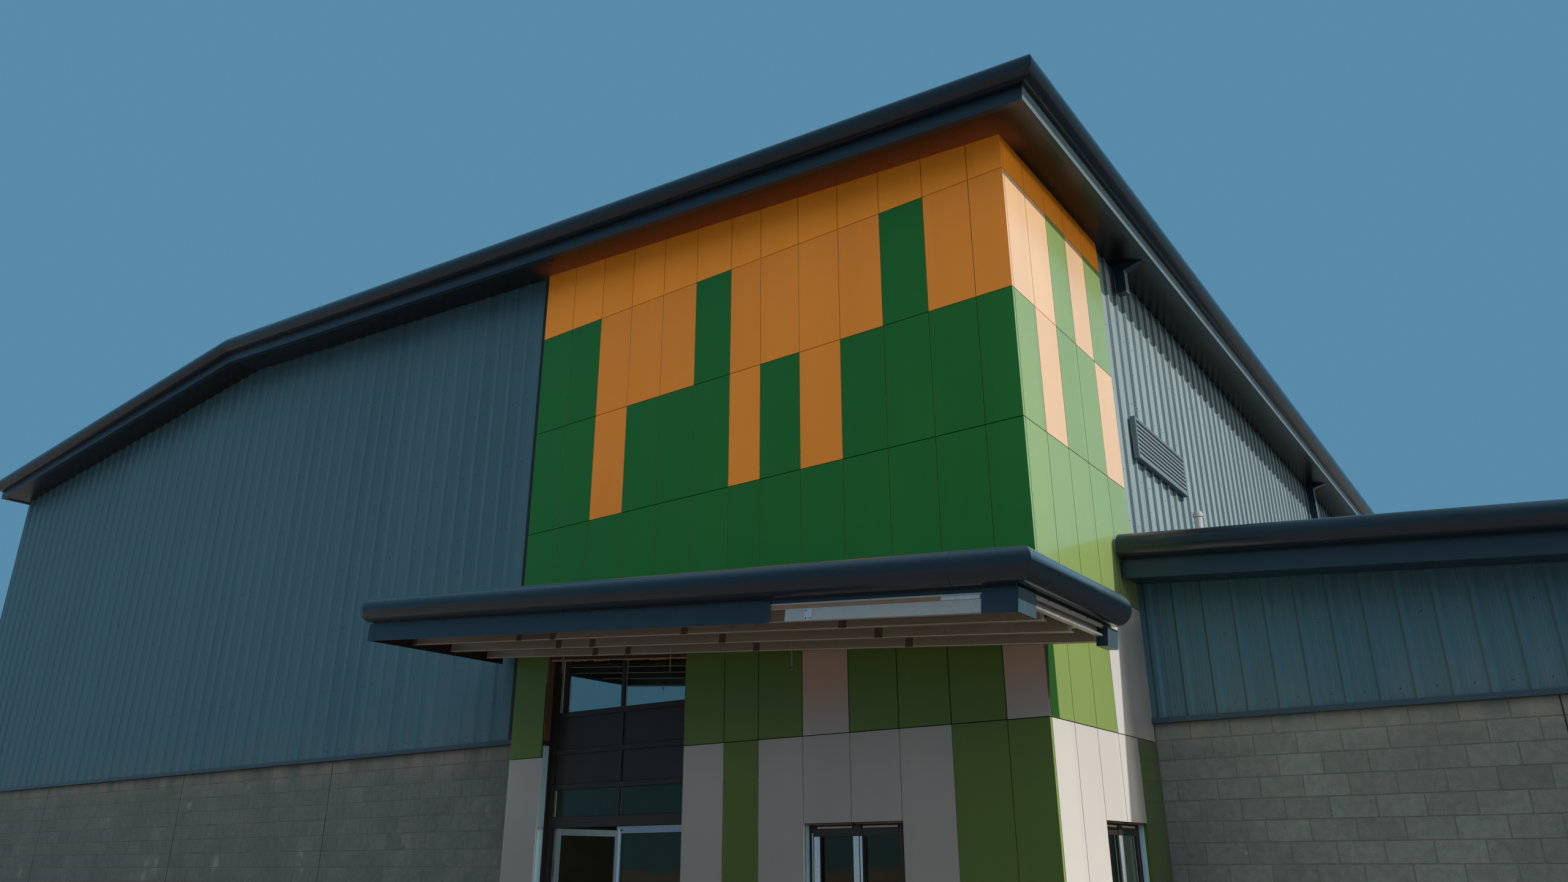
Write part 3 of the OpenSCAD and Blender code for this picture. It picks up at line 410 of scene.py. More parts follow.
def panel_finish(name, base, sunlit_look, warmth=0.0):
    """Flat satin wall panel: each has its own slight tone; the faces to the right are painted in a lighter,
    paler sunlit look, with painted shadows and painted bounce light.
    """
    f = Finish(name, base, 0.42, gloss=0.35, grain=350, clouds=0.45, streaks=2.0)
    # Where the wing roof's shadow falls on the side wall, to be painted as shade.
    wing_shadow = f.both(f.ramp(f.y, CORNER.y + 2.1, CORNER.y + 2.4), f.ramp(f.z, 4.7, 4.3))
    right = f.ramp(f.facing(0), 0.5, 0.8)
    below = f.maths("LESS_THAN", f.z, TOP_ROW)
    sunny = f.both(f.without(right, wing_shadow), below)
    # A strip of the side wall at the corner under the canopy, painted as the canopy's shadow.
    by_corner = f.ramp(f.y, CORNER.y + 0.25, CORNER.y + 0.235)
    corner = f.both(by_corner, f.maths("COMPARE", f.z, 3.6, 0.48), right)
    sheen = f.both(f.without(f.both(right, below), corner), 0.85)
    f.set({"Coat IOR": 2.4, "Coat Weight": sheen})
    # Pale panels get painted warm bounce light on their front faces under the canopy.
    if warmth:
        under_canopy = f.both(f.ramp(f.z, 3.05, 3.75), f.ramp(f.z, 4.7, 4.4))
        f.cover(f.without(under_canopy, right), (0.58, 0.3, 0.16), warmth)
    # Above the top row's joint the orange is painted brighter, as bounce light in the soffit's shade.
    f.cover(f.maths("SUBTRACT", 1.0, below), (1.0, 0.34, 0.025))
    # Front faces are painted darker towards the foot, as shade under the canopy.
    f.cover(f.without(f.ramp(f.z, 3.3, 1.6), right), (0.01, 0.02, 0.004), 0.3)
    # Painted sunlight on the faces to the right, outside the wing roof's shadow and below the top row.
    f.cover(sunny, sunlit_look)
    # On the green panels the wing roof's shadow is painted darker.
    if not warmth:
        f.cover(f.both(right, wing_shadow), (0.01, 0.035, 0.003), 0.5)
    # Painted shadow of the canopy at the corner.
    f.cover(corner, (0.05, 0.035, 0.03) if warmth else (0.006, 0.07, 0.005), 0.95)
    f.tone(f.cells((PANEL_W, PANEL_W, PANEL_H), (CORNER.x - PANELS_W + 0.003, CORNER.y - 0.1, 0.0)), 0.07)
    f.tones(Broad=0.06, Streak=0.05, Fine=0.03)
    return f.bumps(Fine=0.02, Broad=0.5).done("Broad", 0.1, 0.0015)


def folded_metal(name, base, roughness=0.34, coat=0.1, gloss=0.3, sunny=(0.16, 0.235, 0.265), rounded=False):
    """Bent sheet with painted sunlight where it faces right; on round edges only on those low on the building,
    whose tops also carry a painted sky reflection.
    """
    f = Finish(name, base, roughness, coat=coat, gloss=gloss, grain=240, clouds=0.6, streaks=4.0)
    lit = f.ramp(f.facing(0), 0.1, 0.95)
    if rounded:
        low = f.ramp(f.z, 5.2, 5.0)
        lit = f.both(lit, f.ramp(f.facing(2), -0.1, 0.45), low)
        # Painted sky reflection on the tops of round edges low on the building.
        f.cover(f.both(low, f.ramp(f.facing(2), 0.2, 0.9)), (0.04, 0.075, 0.1), 0.6)
    f.cover(lit, sunny, 0.9).tones(Broad=0.1, Streak=0.08)
    f.cover(f.both(f.ramp(f.facing(2), 0.3, 0.95), f.wear["Broad"]), (0.07, 0.08, 0.085), 0.15)
    return f.bumps(Broad=1.0).done("Streak", 0.1, 0.002)


def canopy_metal(name, base):
    """Fascia metal with painted sunlight where it faces right, and painted shade on the inside of its left side
    plate.
    """
    f = Finish(name, base, 0.34, coat=0.1, gloss=0.3, grain=240, clouds=0.6, streaks=4.0)
    right = f.ramp(f.facing(0), 0.3, 0.9)
    f.cover(right, (0.06, 0.105, 0.132), 0.9)
    # Painted shade on the inside face of the left side plate.
    f.cover(f.both(right, f.maths("LESS_THAN", f.x, CORNER.x - 7.9)), (0.03, 0.02, 0.017))
    return f.tones(Broad=0.1, Streak=0.16).bumps(Broad=1.0).done("Streak", 0.1, 0.002)


def louvre_metal(name):
    """The frame's face is painted light, as sunlit metal; the blades behind it are painted almost black, as
    deep shade.
    """
    f = Finish(name, (0.005, 0.007, 0.009), 0.8, gloss=0.05, grain=240, clouds=0.6, streaks=4.0)
    lo, hi = BOX["louvre"]
    inside = f.both(*(f.maths("COMPARE", value, (lo[k] + hi[k]) / 2, (hi[k] - lo[k]) / 2 - 0.0452)
                      for value, k in ((f.y, 1), (f.z, 2))))
    # The frame face is painted as sunlit metal; the base colour left inside is painted deep shade.
    f.cover(f.maths("SUBTRACT", 1.0, inside), (0.13, 0.19, 0.21))
    return f.tones(Broad=0.1, Streak=0.1).bumps(Broad=0.5).done("Streak", 0.1, 0.001)


def concrete_block(name, base):
    """Grey block with pits, chalky patches and stains at the top and the foot."""
    f = Finish(name, base, 0.9, grain=170, clouds=1.3, streaks=3.0)
    tint = put(f.tree, "Attribute", attribute_name="tint", attribute_type="GEOMETRY").outputs["Fac"]
    grit = f.flakes(160.0, "Distance")
    hole = f.ramp(f.noise(75.0, 5.0, 0.7), 0.4, 0.33)
    f.tone(tint, 0.26).tones(Broad=0.2, Fine=0.22).tone(grit, 0.2)
    f.tone(f.ramp(f.noise(14.0, 4.0), 0.3, 0.7), 0.2)
    f.cover(hole, (0.09, 0.09, 0.08), 0.55)
    # Blocks left of the panels are painted darker and bluer, as shade.
    f.cover(f.maths("LESS_THAN", f.x, CORNER.x - 7.6), (0.06, 0.08, 0.075), 0.3)
    f.cover(f.ramp(f.noise(1.9, 3.0), 0.64, 0.76), (0.34, 0.35, 0.32), 0.45)
    f.cover(f.both(f.ramp(f.z, 2.9, 3.32), f.wear["Streak"]), (0.33, 0.29, 0.23), 0.5)
    f.cover(f.both(f.ramp(f.z, 0.45, 0.0), f.wear["Broad"]), (0.12, 0.115, 0.1), 0.5)
    return f.bumps(Fine=0.35).raise_by(hole, -0.8).raise_by(grit, 0.3).done("Fine", 0.1, 0.0022)


def mortar(name, base):
    f = Finish(name, base, 0.95, grain=300, clouds=1.0, streaks=4.0)
    return f.tones(Fine=0.3, Broad=0.25).bumps(Fine=1.0).done("Fine", 0.05, 0.0015)


def concrete_floor(name):
    f = Finish(name, (0.3, 0.29, 0.27), 0.7, grain=90, clouds=0.4, streaks=1.0)
    f.tones(Broad=0.2, Fine=0.15).tone(f.cells((4.5, 4.5, 5), (0.4, 0.4, -1)), 0.1)
    return f.bumps(Fine=0.4, Broad=0.6).done("Broad", 0.2, 0.001)


def soffit_boards(name):
    """Dark boards with fine lines between them, and a painted orange reflection beside the orange panels."""
    f = Finish(name, colours().soffit, 0.26, gloss=0.35, clouds=0.7, streaks=2.0)
    board, x0, y0 = 3.0, CORNER.x - 1.1, 1.9
    f.tone(f.cells((board, board, 90), (x0, y0, -10)), 0.25).tones(Broad=0.2)
    for value, start in ((f.x, x0), (f.y, y0)):
        phase = f.maths("FRACT", f.maths("DIVIDE", f.maths("SUBTRACT", value, start), board))
        line = f.ramp(f.maths("ABSOLUTE", f.maths("SUBTRACT", phase, 0.5)), 0.4975, 0.499)
        f.cover(line, (0.004, 0.004, 0.004), 0.9).raise_by(line, -1.0)
    # Painted orange reflection of the panels on the boards beside them.
    near = f.both(*(f.ramp(value, a, b) for value, a, b in (
        (f.y, CORNER.y - 0.56, CORNER.y + 0.15), (f.x, CORNER.x - 7.9, CORNER.x - 7.5),
        (f.x, CORNER.x + 0.3, CORNER.x - 0.1), (f.y, CORNER.y + 0.5, CORNER.y + 0.1))))
    return f.cover(near, (0.42, 0.11, 0.03), 0.8).bumps(Broad=0.6).done("Broad", 0.1, 0.003)


def galvanised(name):
    """Spangled zinc, with a painted brown reflection of the ground inside the canopy."""
    f = Finish(name, colours().zinc, 0.48, metallic=0.65, grain=260, clouds=1.2, streaks=4.0)
    value = put(f.tree, "SeparateColor", {0: f.flakes(55.0, "Color")}).outputs[0]
    f.tone(value, 0.16).tones(Broad=0.3, Fine=0.08)
    f.cover(f.ramp(f.wear["Broad"], 0.55, 0.9), (0.5, 0.42, 0.34), 0.35)
    # Painted brown reflection of the ground on the steel inside the canopy.
    inside = f.ramp(f.y, CORNER.y - 2.08, CORNER.y - 2.0)
    f.cover(f.both(inside, f.maths("LESS_THAN", f.x, CORNER.x + 0.62)), (0.38, 0.27, 0.185), 0.85)
    return f.bumps(Fine=0.05, Broad=0.5).done(value, 0.2, 0.001)


def powder_coat(name, base, roughness):
    f = Finish(name, base, roughness, gloss=0.25, grain=600, clouds=1.5, streaks=6.0)
    return f.tones(Broad=0.16, Streak=0.1, Fine=0.08).bumps(Fine=0.1).done("Broad", 0.12, 0.001)


def anodised(name, base):
    f = Finish(name, base, 0.36, metallic=0.55, grain=500, clouds=2.0, streaks=40.0)
    return f.tones(Streak=0.12, Broad=0.1).bumps(Streak=0.12).done("Streak", 0.12, 0.0006)


def glass(name, tint):
    """Clear panes; those above 3.6 m carry a reflecting layer."""
    f = Finish(name, tint, 0.02, grain=30, clouds=1.6, streaks=8.0)
    f.set({"Transmission Weight": 1.0, "IOR": 1.45, "Specular Tint": (1.0, 0.72, 0.48, 1), "Coat IOR": 2.6,
           "Coat Roughness": 0.02, "Coat Weight": f.ramp(f.z, 3.6, 3.65)})
    return f.tones(Broad=0.06).bumps(Broad=1.0).done("Broad", 0.015, 0.0008)


def rubber(name, base=(0.012, 0.012, 0.012)):
    f = Finish(name, base, 0.65, grain=400, clouds=3.0, streaks=8.0)
    return f.tones(Broad=0.3, Fine=0.15).bumps(Fine=0.3).done("Broad", 0.12, 0.0006)


def bare_timber(name, base):
    f = Finish(name, base, 0.75, gloss=0.3, grain=120, clouds=2.0, streaks=60.0)
    return f.tones(Streak=0.5, Broad=0.3).bumps(Streak=0.5).done("Streak", 0.1, 0.001)


def wall_core(name):
    """Painted plaster inside, dark membrane on the face behind the panels."""
    f = Finish(name, (0.52, 0.5, 0.46), 0.8, grain=220, clouds=0.8, streaks=3.0)
    f.tones(Broad=0.08, Fine=0.06)
    front = f.maths("LESS_THAN", f.y, CORNER.y + 0.045)
    side = f.maths("GREATER_THAN", f.x, CORNER.x - 0.045)
    f.cover(f.maths("MAXIMUM", front, side), (0.02, 0.016, 0.014))
    return f.bumps(Fine=0.5).done("Fine", 0.08, 0.001)


def make_finishes():
    c = colours()
    GROUPS.update(weathering=weathering_group(), tone=tone_group(), cells=cell_group(), swages=swage_group())
    FINISH.update(
        orange=panel_finish("panel_orange", c.orange, (0.93, 0.6, 0.34)),
        emerald=panel_finish("panel_emerald", c.emerald, (0.29, 0.41, 0.13)),
        moss=panel_finish("panel_moss", c.moss, (0.27, 0.375, 0.1)),
        pale=panel_finish("panel_pale", c.pale, (0.76, 0.73, 0.69), 0.6),
        folded=folded_metal("folded_metal", c.folded),
        flashing=folded_metal("flashing_metal", (0.035, 0.062, 0.085)),
        canopy=canopy_metal("canopy_fascia_metal", c.folded),
        roll=folded_metal("round_edge_metal", c.roll, 0.22, 0.25, 0.4, (0.08, 0.135, 0.17), True),
        roof=folded_metal("roof_sheet", (0.05, 0.075, 0.1), 0.42, 0.05),
        soffit=soffit_boards("soffit_boards"),
        block=concrete_block("concrete_block", c.block),
        mortar=mortar("block_mortar", c.mortar),
        sealant=rubber("joint_sealant", (0.02, 0.018, 0.016)),
        rubber=rubber("rubber_gasket"),
        floor=concrete_floor("concrete_floor"),
        zinc=galvanised("galvanised_steel"),
        silver=anodised("silver_anodised", c.silver),
        bright=anodised("bright_steel", (0.6, 0.62, 0.64)),
        timber=bare_timber("bare_timber", c.timber),
        stained=bare_timber("stained_timber", (0.05, 0.026, 0.02)),
        white=anodised("white_aluminium", (0.6, 0.68, 0.74)),
        louvre=louvre_metal("louvre_metal"),
        blade=folded_metal("louvre_lip", (0.07, 0.115, 0.14), 0.4, 0.05, sunny=(0.24, 0.32, 0.34)),
        glass=glass("clear_glass", (0.6, 0.74, 0.66)),
        plaster=wall_core("wall_core"),
    )
    for key, name, base, roughness in (
        ("cleat", "dark_cleat", (0.1, 0.06, 0.045), 0.55), ("dull", "dull_zinc", (0.17, 0.13, 0.1), 0.6),
        # The purlin lip finish is light as a painted highlight.
        ("rod", "rod_zinc", (0.32, 0.34, 0.29), 0.5), ("lip", "purlin_lip_highlight", (0.7, 0.6, 0.47), 0.5),
        # The tan finish is painted bounce light for a recess of the canopy edge.
        ("tan", "recess_bounce_light", (0.3, 0.2, 0.13), 0.6), ("frame", "anthracite_frame", c.anthracite, 0.42),
        # The reveal trim's light blue is lighter than its own colour, as a painted reflection of the bright
        # surroundings.
        ("trim", "reveal_trim", (0.42, 0.68, 0.8), 0.4), ("foam", "packing_foam", (0.42, 0.22, 0.09), 0.9),
        ("blind", "head_strip", (0.42, 0.4, 0.34), 0.6), ("pipe", "grey_plastic", (0.42, 0.44, 0.45), 0.5),
        ("screw", "screw_head", (0.03, 0.045, 0.055), 0.4),
    ):
        FINISH[key] = powder_coat(name, base, roughness)


def give(node, finish):
    data = NODES[node].data
    data.materials.clear()
    data.materials.append(finish)


# For each metal wall, the axis it runs along and the place of its first rib
WALLS = {
    "hall_front": (0, CORNER.x - HALL_W + 0.111 + 0.055),
    "hall_left": (1, CORNER.y + 29.85 - 0.166),
    "hall_rear": (0, CORNER.x - SETBACK - 0.166),
    "hall_side": (1, CORNER.y + WING_FRONT + 0.115),
    "wing_front": (0, CORNER.x - 0.0477 + 0.163),
    "wing_end": (1, CORNER.y + WING_FRONT + 0.15 + 0.166),
    "wing_rear": (0, CORNER.x + WING_W - 0.166),
}


class SCHOOL_OT_finishes(bpy.types.Operator):
    """Gives every piece of the frame its finish"""

    bl_idname = "school.finishes"
    bl_label = "Finishes"

    def execute(self, context):
        make_finishes()
        for wall, (axis, first) in WALLS.items():
            name = wall + "_cladding"
            # The sunlit side wall takes a lighter copy of the sheet colour: painted sunlight.
            base = (0.27, 0.35, 0.36) if wall == "hall_side" else colours().sheet
            give(name, sheet_metal("sheet_" + name, axis, first, base))
        for name in NODES:
            if name.endswith("plinth"):
                give(name, FINISH["mortar"])
            elif name.startswith("entry_"):
                give(name, FINISH["plaster"])
            elif name.startswith("panels_"):
                give(name, FINISH[name[7:]])
        for finish, names in (
            ("folded", "hall_fascia wing_fascia rainwater_pipes"), ("canopy", "canopy_fascia"),
            ("flashing", "flashings"), ("louvre", "louvre"),
            ("roll", "hall_roof_roll wing_roof_roll canopy_roll"),
            ("roof", "hall_roof wing_roof canopy_deck"), ("soffit", "hall_soffit"), ("floor", "floor_slab"),
            ("zinc", "canopy_frame"), ("frame", "entrance_frame window_frames"), ("pipe", "vent_pipe"),
            ("silver", "door_left door_right"), ("glass", "glazing door_left_glass door_right_glass"),
        ):
            for name in names.split():
                give(name, FINISH[finish])
        return {"FINISHED"}


def wall_place(origin, side):
    """A frame whose X runs along a wall, Y goes up and Z points out of it."""
    x, z = Vector(side[0]), Vector(side[1])
    place = Matrix((x, z.cross(x), z)).transposed().to_4x4()
    place.translation = Vector(origin)
    return place


def lay_blocks(name, origin, side, run, phase, breaks, seed):
    """Half-bond blockwork on a wall face, with sealed movement joints at breaks."""
    s, rng, form = sizes(), random.Random(seed), Form(wall_place(origin, side))
    gap, least = s.joint / 2, 0.06
    course, z0 = 0, 0.0
    while z0 < PLINTH_H - 0.03:
        z1 = min(FIRST_BED + course * s.block_h, PLINTH_H)
        start = phase + (s.block_l / 2 if course % 2 else 0)
        edges = [0.0, run] + [b for b in breaks if 0 < b < run]
        x = start - ceil(start / s.block_l) * s.block_l
        while x < run:
            if least < x < run - least and all(abs(x - b) > least for b in breaks):
                edges.append(x)
            x += s.block_l
        edges.sort()
        for a, b in zip(edges, edges[1:]):
            tint = min(1, max(0, rng.gauss(0.5, 0.22)))
            lift = s.block_out + rng.uniform(-0.001, 0.001)
            form.slab((a + gap, z0 + (gap if course else 0)), (b - gap, z1 - gap), lift, 0.004, tint)
        z0, course = z1, course + 1
    for b in breaks:
        form.bar((b - 0.007, 0.01, 0.0), (b + 0.007, PLINTH_H - 0.005, 0.004), 0.001, 1)
    form.build(name, "blockwork", "block", "sealant")


class SCHOOL_OT_blockwork(bpy.types.Operator):
    """Lays the blocks of the hall and wing plinths"""

    bl_idname = "school.blockwork"
    bl_label = "Blockwork"

    def execute(self, context):
        low, high = ({name[:-7]: box[k] for name, box in BOX.items() if name.endswith("_plinth")}
                     for k in (0, 1))
        front, back = low["hall_front"].y, high["hall_rear"].y
        wing_front, wing_back, end = low["wing_front"].y, high["wing_rear"].y, high["wing_end"].x
        left, right = low["hall_front"].x, high["hall_front"].x
        rear_l, rear_r = low["hall_rear"].x, high["hall_rear"].x
        for seed, (name, side, x, y, run, phase, breaks) in enumerate((
            ("hall_front", FRONT, left, front, right - left, CORNER.x - 8.28 - left,
             [CORNER.x - b - left for b in (11.89, 16.4, 21.8)]),
            ("hall_left", LEFT, low["hall_left"].x, back, back - front, 0.3, (6.1, 12.2, 18.3, 24.4)),
            ("hall_rear", REAR, rear_r, back, rear_r - rear_l, 0.3, (6.1, 12.2, 18.3)),
            ("hall_side", RIGHT, high["hall_side"].x, wing_back, back - wing_back, 0.3, (6.1,)),
            ("wing_front", FRONT, CORNER.x, wing_front, end - CORNER.x, 0.404, (3.99,)),
            ("wing_end", RIGHT, end, wing_front, wing_back - wing_front, 0.3, (6.1,)),
            ("wing_rear", REAR, end, wing_back, end - CORNER.x + 0.1, 0.3, (4.0,)),
        ), start=2):
            lay_blocks("blocks_" + name, (x, y, 0), side, run, phase, breaks, seed)
        return {"FINISHED"}


# Profiles as (radius, height) pairs, and the heights of the rows of screws on the hall
SCREW = ((0.008, 0.0), (0.008, 0.0015), (0.0055, 0.0022), (0.0052, 0.0065), (0.003, 0.0075))
BOLT = ((0.013, 0), (0.013, 0.002), (0.0085, 0.0025), (0.0085, 0.007), (0.006, 0.0085))
SCREW_ROWS = (3.48, 4.43, 5.44, 6.45, 7.46, 8.47, 9.43, 10.4)


def scaled(profile, factor):
    return [(r * factor, h) for r, h in profile]


def roof_foot(x):
    """Height of the underside of the hall roof at a place along X."""
    return RIDGE.z - abs(x - RIDGE.x) * tan(PITCH)


def screw_wall(name, origin, side, count, top, rows, stitch_from):
    """Screws in the pans and stitching screws on every third rib of a wall with a count of ribs."""
    form = Form()
    place = wall_place(origin, side)
    for i in range(count):
        rib = RIB * i
        highest = top(rib)
        for k, z in enumerate(rows):
            if z < highest - 0.15 and (k == 0 or i % 3 != 1):
                form.turned(SCREW, 7, place @ Matrix.Translation((rib + RIB / 2, z, 0)))
        if i % 3 == 0:
            z = stitch_from
            while z < highest - 0.1:
                form.turned(scaled(SCREW, 0.8), 6, place @ Matrix.Translation((rib - 0.005, z, RIB_OUT)))
                z += 0.507
    form.build(name, "wall_metal", "screw")


class SCHOOL_OT_wall_screws(bpy.types.Operator):
    """Sets the screws of the metal walls"""

    bl_idname = "school.wall_screws"
    bl_label = "Wall screws"

    def execute(self, context):
        left, right, slope = CORNER.x - HALL_W, CORNER.x - SETBACK, tan(WING_PITCH)
        front_rib, rear_rib = WALLS["hall_front"][1], WALLS["hall_rear"][1]
        hall, above_wing, wing = (SCREW_ROWS, 3.9), ((5.9, 6.6, 7.75, 8.7, 9.5), 5.7), ((3.5, 4.28), 9)
        for name, side, face, count, top, (rows, stitch_from) in (
            ("hall_front", FRONT, CORNER.y + SETBACK, 55, lambda a: roof_foot(front_rib + a), hall),
            ("hall_left", LEFT, left, 88, lambda a: roof_foot(left), hall),
            ("hall_rear", REAR, CORNER.y + HALL_D, 78, lambda a: roof_foot(rear_rib - a), hall),
            ("hall_side", RIGHT, right, 79, lambda a: roof_foot(right), above_wing),
            ("wing_front", FRONT, CORNER.y + WING_FRONT, 24, lambda a: 4.9 - a * slope, wing),
            ("wing_end", RIGHT, CORNER.x + WING_W, 34, lambda a: 4.2, wing),
            ("wing_rear", REAR, CORNER.y + WING_REAR, 24, lambda a: 4.2 + a * slope, wing),
        ):
            axis, first = WALLS[name]
            origin = (face, first, 0) if axis else (first, face, 0)
            screw_wall("screws_" + name, origin, side, count, top, rows, stitch_from)
        return {"FINISHED"}


# Cleats along each purlin: the purlin's front face and the places along X
CLEATS = (
    (-0.305, (-6.6, -6.03, -4.03, -2.05)),
    (-0.910, (-6.62, -6.04, -4.035, -2.05)),
    (-1.515, (-8.65, -6.65, -6.07, -4.06, -2.08)),
)
FASCIA_SCREWS = (-8.434, -8.023, -7.653, -7.256, -6.859, -6.433, -6.04, -5.648, -5.249, -4.852, -4.422, -4.063,
                 -3.656, -3.261, -2.857)
FASCIA, CHANNEL = -2.15, -2.1297


def facing_front(x, y, z):
    """A place on the canopy whose Z points away from the building."""
    return CANOPY @ Matrix.Translation((x, y, z)) @ Matrix.Rotation(pi / 2, 4, "X")


def facing_side(x, y, z):
    """A place on the canopy whose Z points along the canopy to its free end."""
    return CANOPY @ Matrix.Translation((x, y, z)) @ Matrix.Rotation(pi / 2, 4, "Y")


class SCHOOL_OT_canopy(bpy.types.Operator):
    """Adds the cleats, drop rods, plates, screws and bolts of the canopy"""

    bl_idname = "school.canopy"
    bl_label = "Canopy pieces"

    def execute(self, context):
        cleats = Form(CANOPY)
        for y, places in CLEATS:
            for x in places:
                cleats.bar((x - 0.045, y - 0.004, 0.041), (x + 0.045, y, 0.168), 0.001)
                for z in (0.075, 0.135):
                    cleats.turned(scaled(BOLT, 0.75), 6, facing_front(x, y - 0.004, z))
            # A light strip along the lower lip of each purlin: a painted highlight.
            cleats.bar((-8.7, y - 0.0015, 0.0402), (-0.06, y, 0.048), 0.0006, 1)
        cleats.bar((-6.6, -1.517, 0.05), (-6.11, -1.515, 0.165), 0.0008, 2)
        cleats.build("canopy_cleats", "galvanised", "cleat", "lip", "dull")
        rods, r = Form(), sizes().rod
        for x in (-6.75, -4.97, -3.255):
            place = CANOPY @ Matrix.Translation((x, -0.71, 0.17)) @ Matrix.Rotation(-CANOPY_PITCH, 4, "Y")
            rods.turned(((r, 0.165), (r, -0.4), (r * 0.6, -0.405)), 8, place)
            for i in range(24):
                z = i * 0.002
                rods.turned(((r, -0.36 + z), (r * 1.12, -0.359 + z), (r, -0.358 + z)), 8, place, caps=False)
            rods.turned(((0.009, -0.37), (0.011, -0.376), (0.011, -0.386), (0.009, -0.392)), 6, place, 1)
        rods.build("canopy_drop_rods", "galvanised", "rod", "cleat")
        screws = Form(CANOPY)
        for x in FASCIA_SCREWS:
            screws.turned(scaled(SCREW, 1.1), 8, facing_front(x, FASCIA, 0.185))
        for y in (-1.95, -1.55, -1.1, -0.7):
            screws.turned(scaled(SCREW, 0.9), 8, facing_side(0.0, y, 0.193))
        screws.bar((-8.612, FASCIA - 0.0006, 0.002), (-8.608, FASCIA, 0.203), 0.0002)
        screws.build("canopy_fascia_screws", "fascia_metal", "screw")
        edge = Form(CANOPY)
        for x0, y0, z0, x1, y1, z1, bevel, slot in (
            (-2.088, -0.004, 0.012, -2.007, -0.0004, 0.118, 0.001, 0),
            (-0.703, -0.003, 0.125, -0.346, -0.0004, 0.158, 0.001, 0),
            # Tan strip in the gap above the channel: painted bounce light in that recess.
            (-2.55, 0.004, 0.1222, -0.33, 0.008, 0.1588, 0.0006, 4),
            (-2.55, -0.002, 0.012, -2.31, -0.0004, 0.118, 0.0005, 3),
        ):
            edge.bar((x0, CHANNEL + y0, z0), (x1, CHANNEL + y1, z1), bevel, slot)
        for x, z in ((-2.07, 0.1), (-2.07, 0.03), (-2.025, 0.03)):
            edge.turned(scaled(BOLT, 0.6), 6, facing_front(x, CHANNEL - 0.004, z), 1)
        for x in (-2.477, -0.403, -0.359, -1.4):
            edge.turned(scaled(BOLT, 0.55), 6, facing_front(x, CHANNEL - 0.0004, 0.167), 2)
        edge.build("canopy_edge_plates", "galvanised", "bright", "screw", "zinc", "cleat", "tan")
        end = Form(CANOPY)
        end.bar((-2.5598, FASCIA, 0.0), (-2.478, FASCIA + 0.019, 0.1995), 0.0015)
        end.build("canopy_fascia_end", "fascia_metal", "canopy")
        return {"FINISHED"}


def roll_arc(radius, start=-95, stop=100, steps=18):
    """Half round towards -Y, as (y, z) pairs; the angles are in degrees."""
    angles = [radians(start + (stop - start) * i / steps) for i in range(steps + 1)]
    return [(-radius * cos(a), radius * sin(a)) for a in angles]


def strap(form, place, x, width, radius=0.1512, slot=0):
    outer, inner = roll_arc(radius), roll_arc(radius - 0.001)
    form.strip(outer + inner[::-1], x - width / 2, x + width / 2, place, slot)


class SCHOOL_OT_roof_edges(bpy.types.Operator):
    """Straps over the joints of the round roof edges"""

    bl_idname = "school.roof_edges"
    bl_label = "Roof edge straps"

    def execute(self, context):
        w, spacing = sizes().strap, 3.05
        canopy_z, hall_z, wing_z = 0.37, 0.295, 0.345
        move, turn, back = Matrix.Translation, Matrix.Rotation(pi / 2, 4, "Z"), Matrix.Rotation(pi, 4, "Z")
        straps = Form()
        for x in (-8.25, -4.31, -0.55):
            strap(straps, CANOPY @ move((0, -2.195, canopy_z)), x, 0.008, 0.1506, 1)
        strap(straps, CANOPY @ move((0.045, -2.195, canopy_z)) @ turn, 1.835, 0.008, 0.1506, 1)
        for slope, sign, run in ((RIGHT_SLOPE, 1, 16.9), (LEFT_SLOPE, -1, 10.1)):
            for y, flip in ((-HALL_OUT, 0), (HALL_D + HALL_OUT, 1)):
                place = slope @ move((0, y, hall_z)) @ (back if flip else Matrix())
                for i in range(int(run / spacing)):
                    strap(straps, place, (-sign if flip else sign) * (1.2 + i * spacing), w)
        place = RIGHT_SLOPE @ move(((RIDGE_RUN + HALL_OUT) / cos(PITCH), -HALL_OUT, hall_z)) @ turn
        for i in range(11):
            strap(straps, place, 0.35 + i * spacing, w)
        for y, flip in ((WING_FRONT - WING_OUT, 0), (WING_REAR + WING_OUT, 1)):
            place = WING_ROOF @ move((0, y, wing_z)) @ (back if flip else Matrix())
            for x in (2.25, 5.3, 8.35):
                strap(straps, place, -x if flip else x, w)
        end, r, flat = Form(), 0.1499, 0.1095
        section = roll_arc(r, -90, 90, 36) + [(flat, r), (flat, -r)]
        end.strip(section, 0.012, 0.287, WING_ROOF @ move((0, WING_FRONT - WING_OUT, wing_z)))
        end.build("wing_roll_end", "roof_metal", "roll")
        wing_end = (WING_W + WING_OUT) / cos(WING_PITCH)
        place = WING_ROOF @ move((wing_end, WING_FRONT - WING_OUT, wing_z)) @ turn
        for i in range(4):
            strap(straps, place, 0.6 + i * spacing, w)
        straps.build("round_edge_straps", "roof_metal", "roll", "rubber")
        return {"FINISHED"}


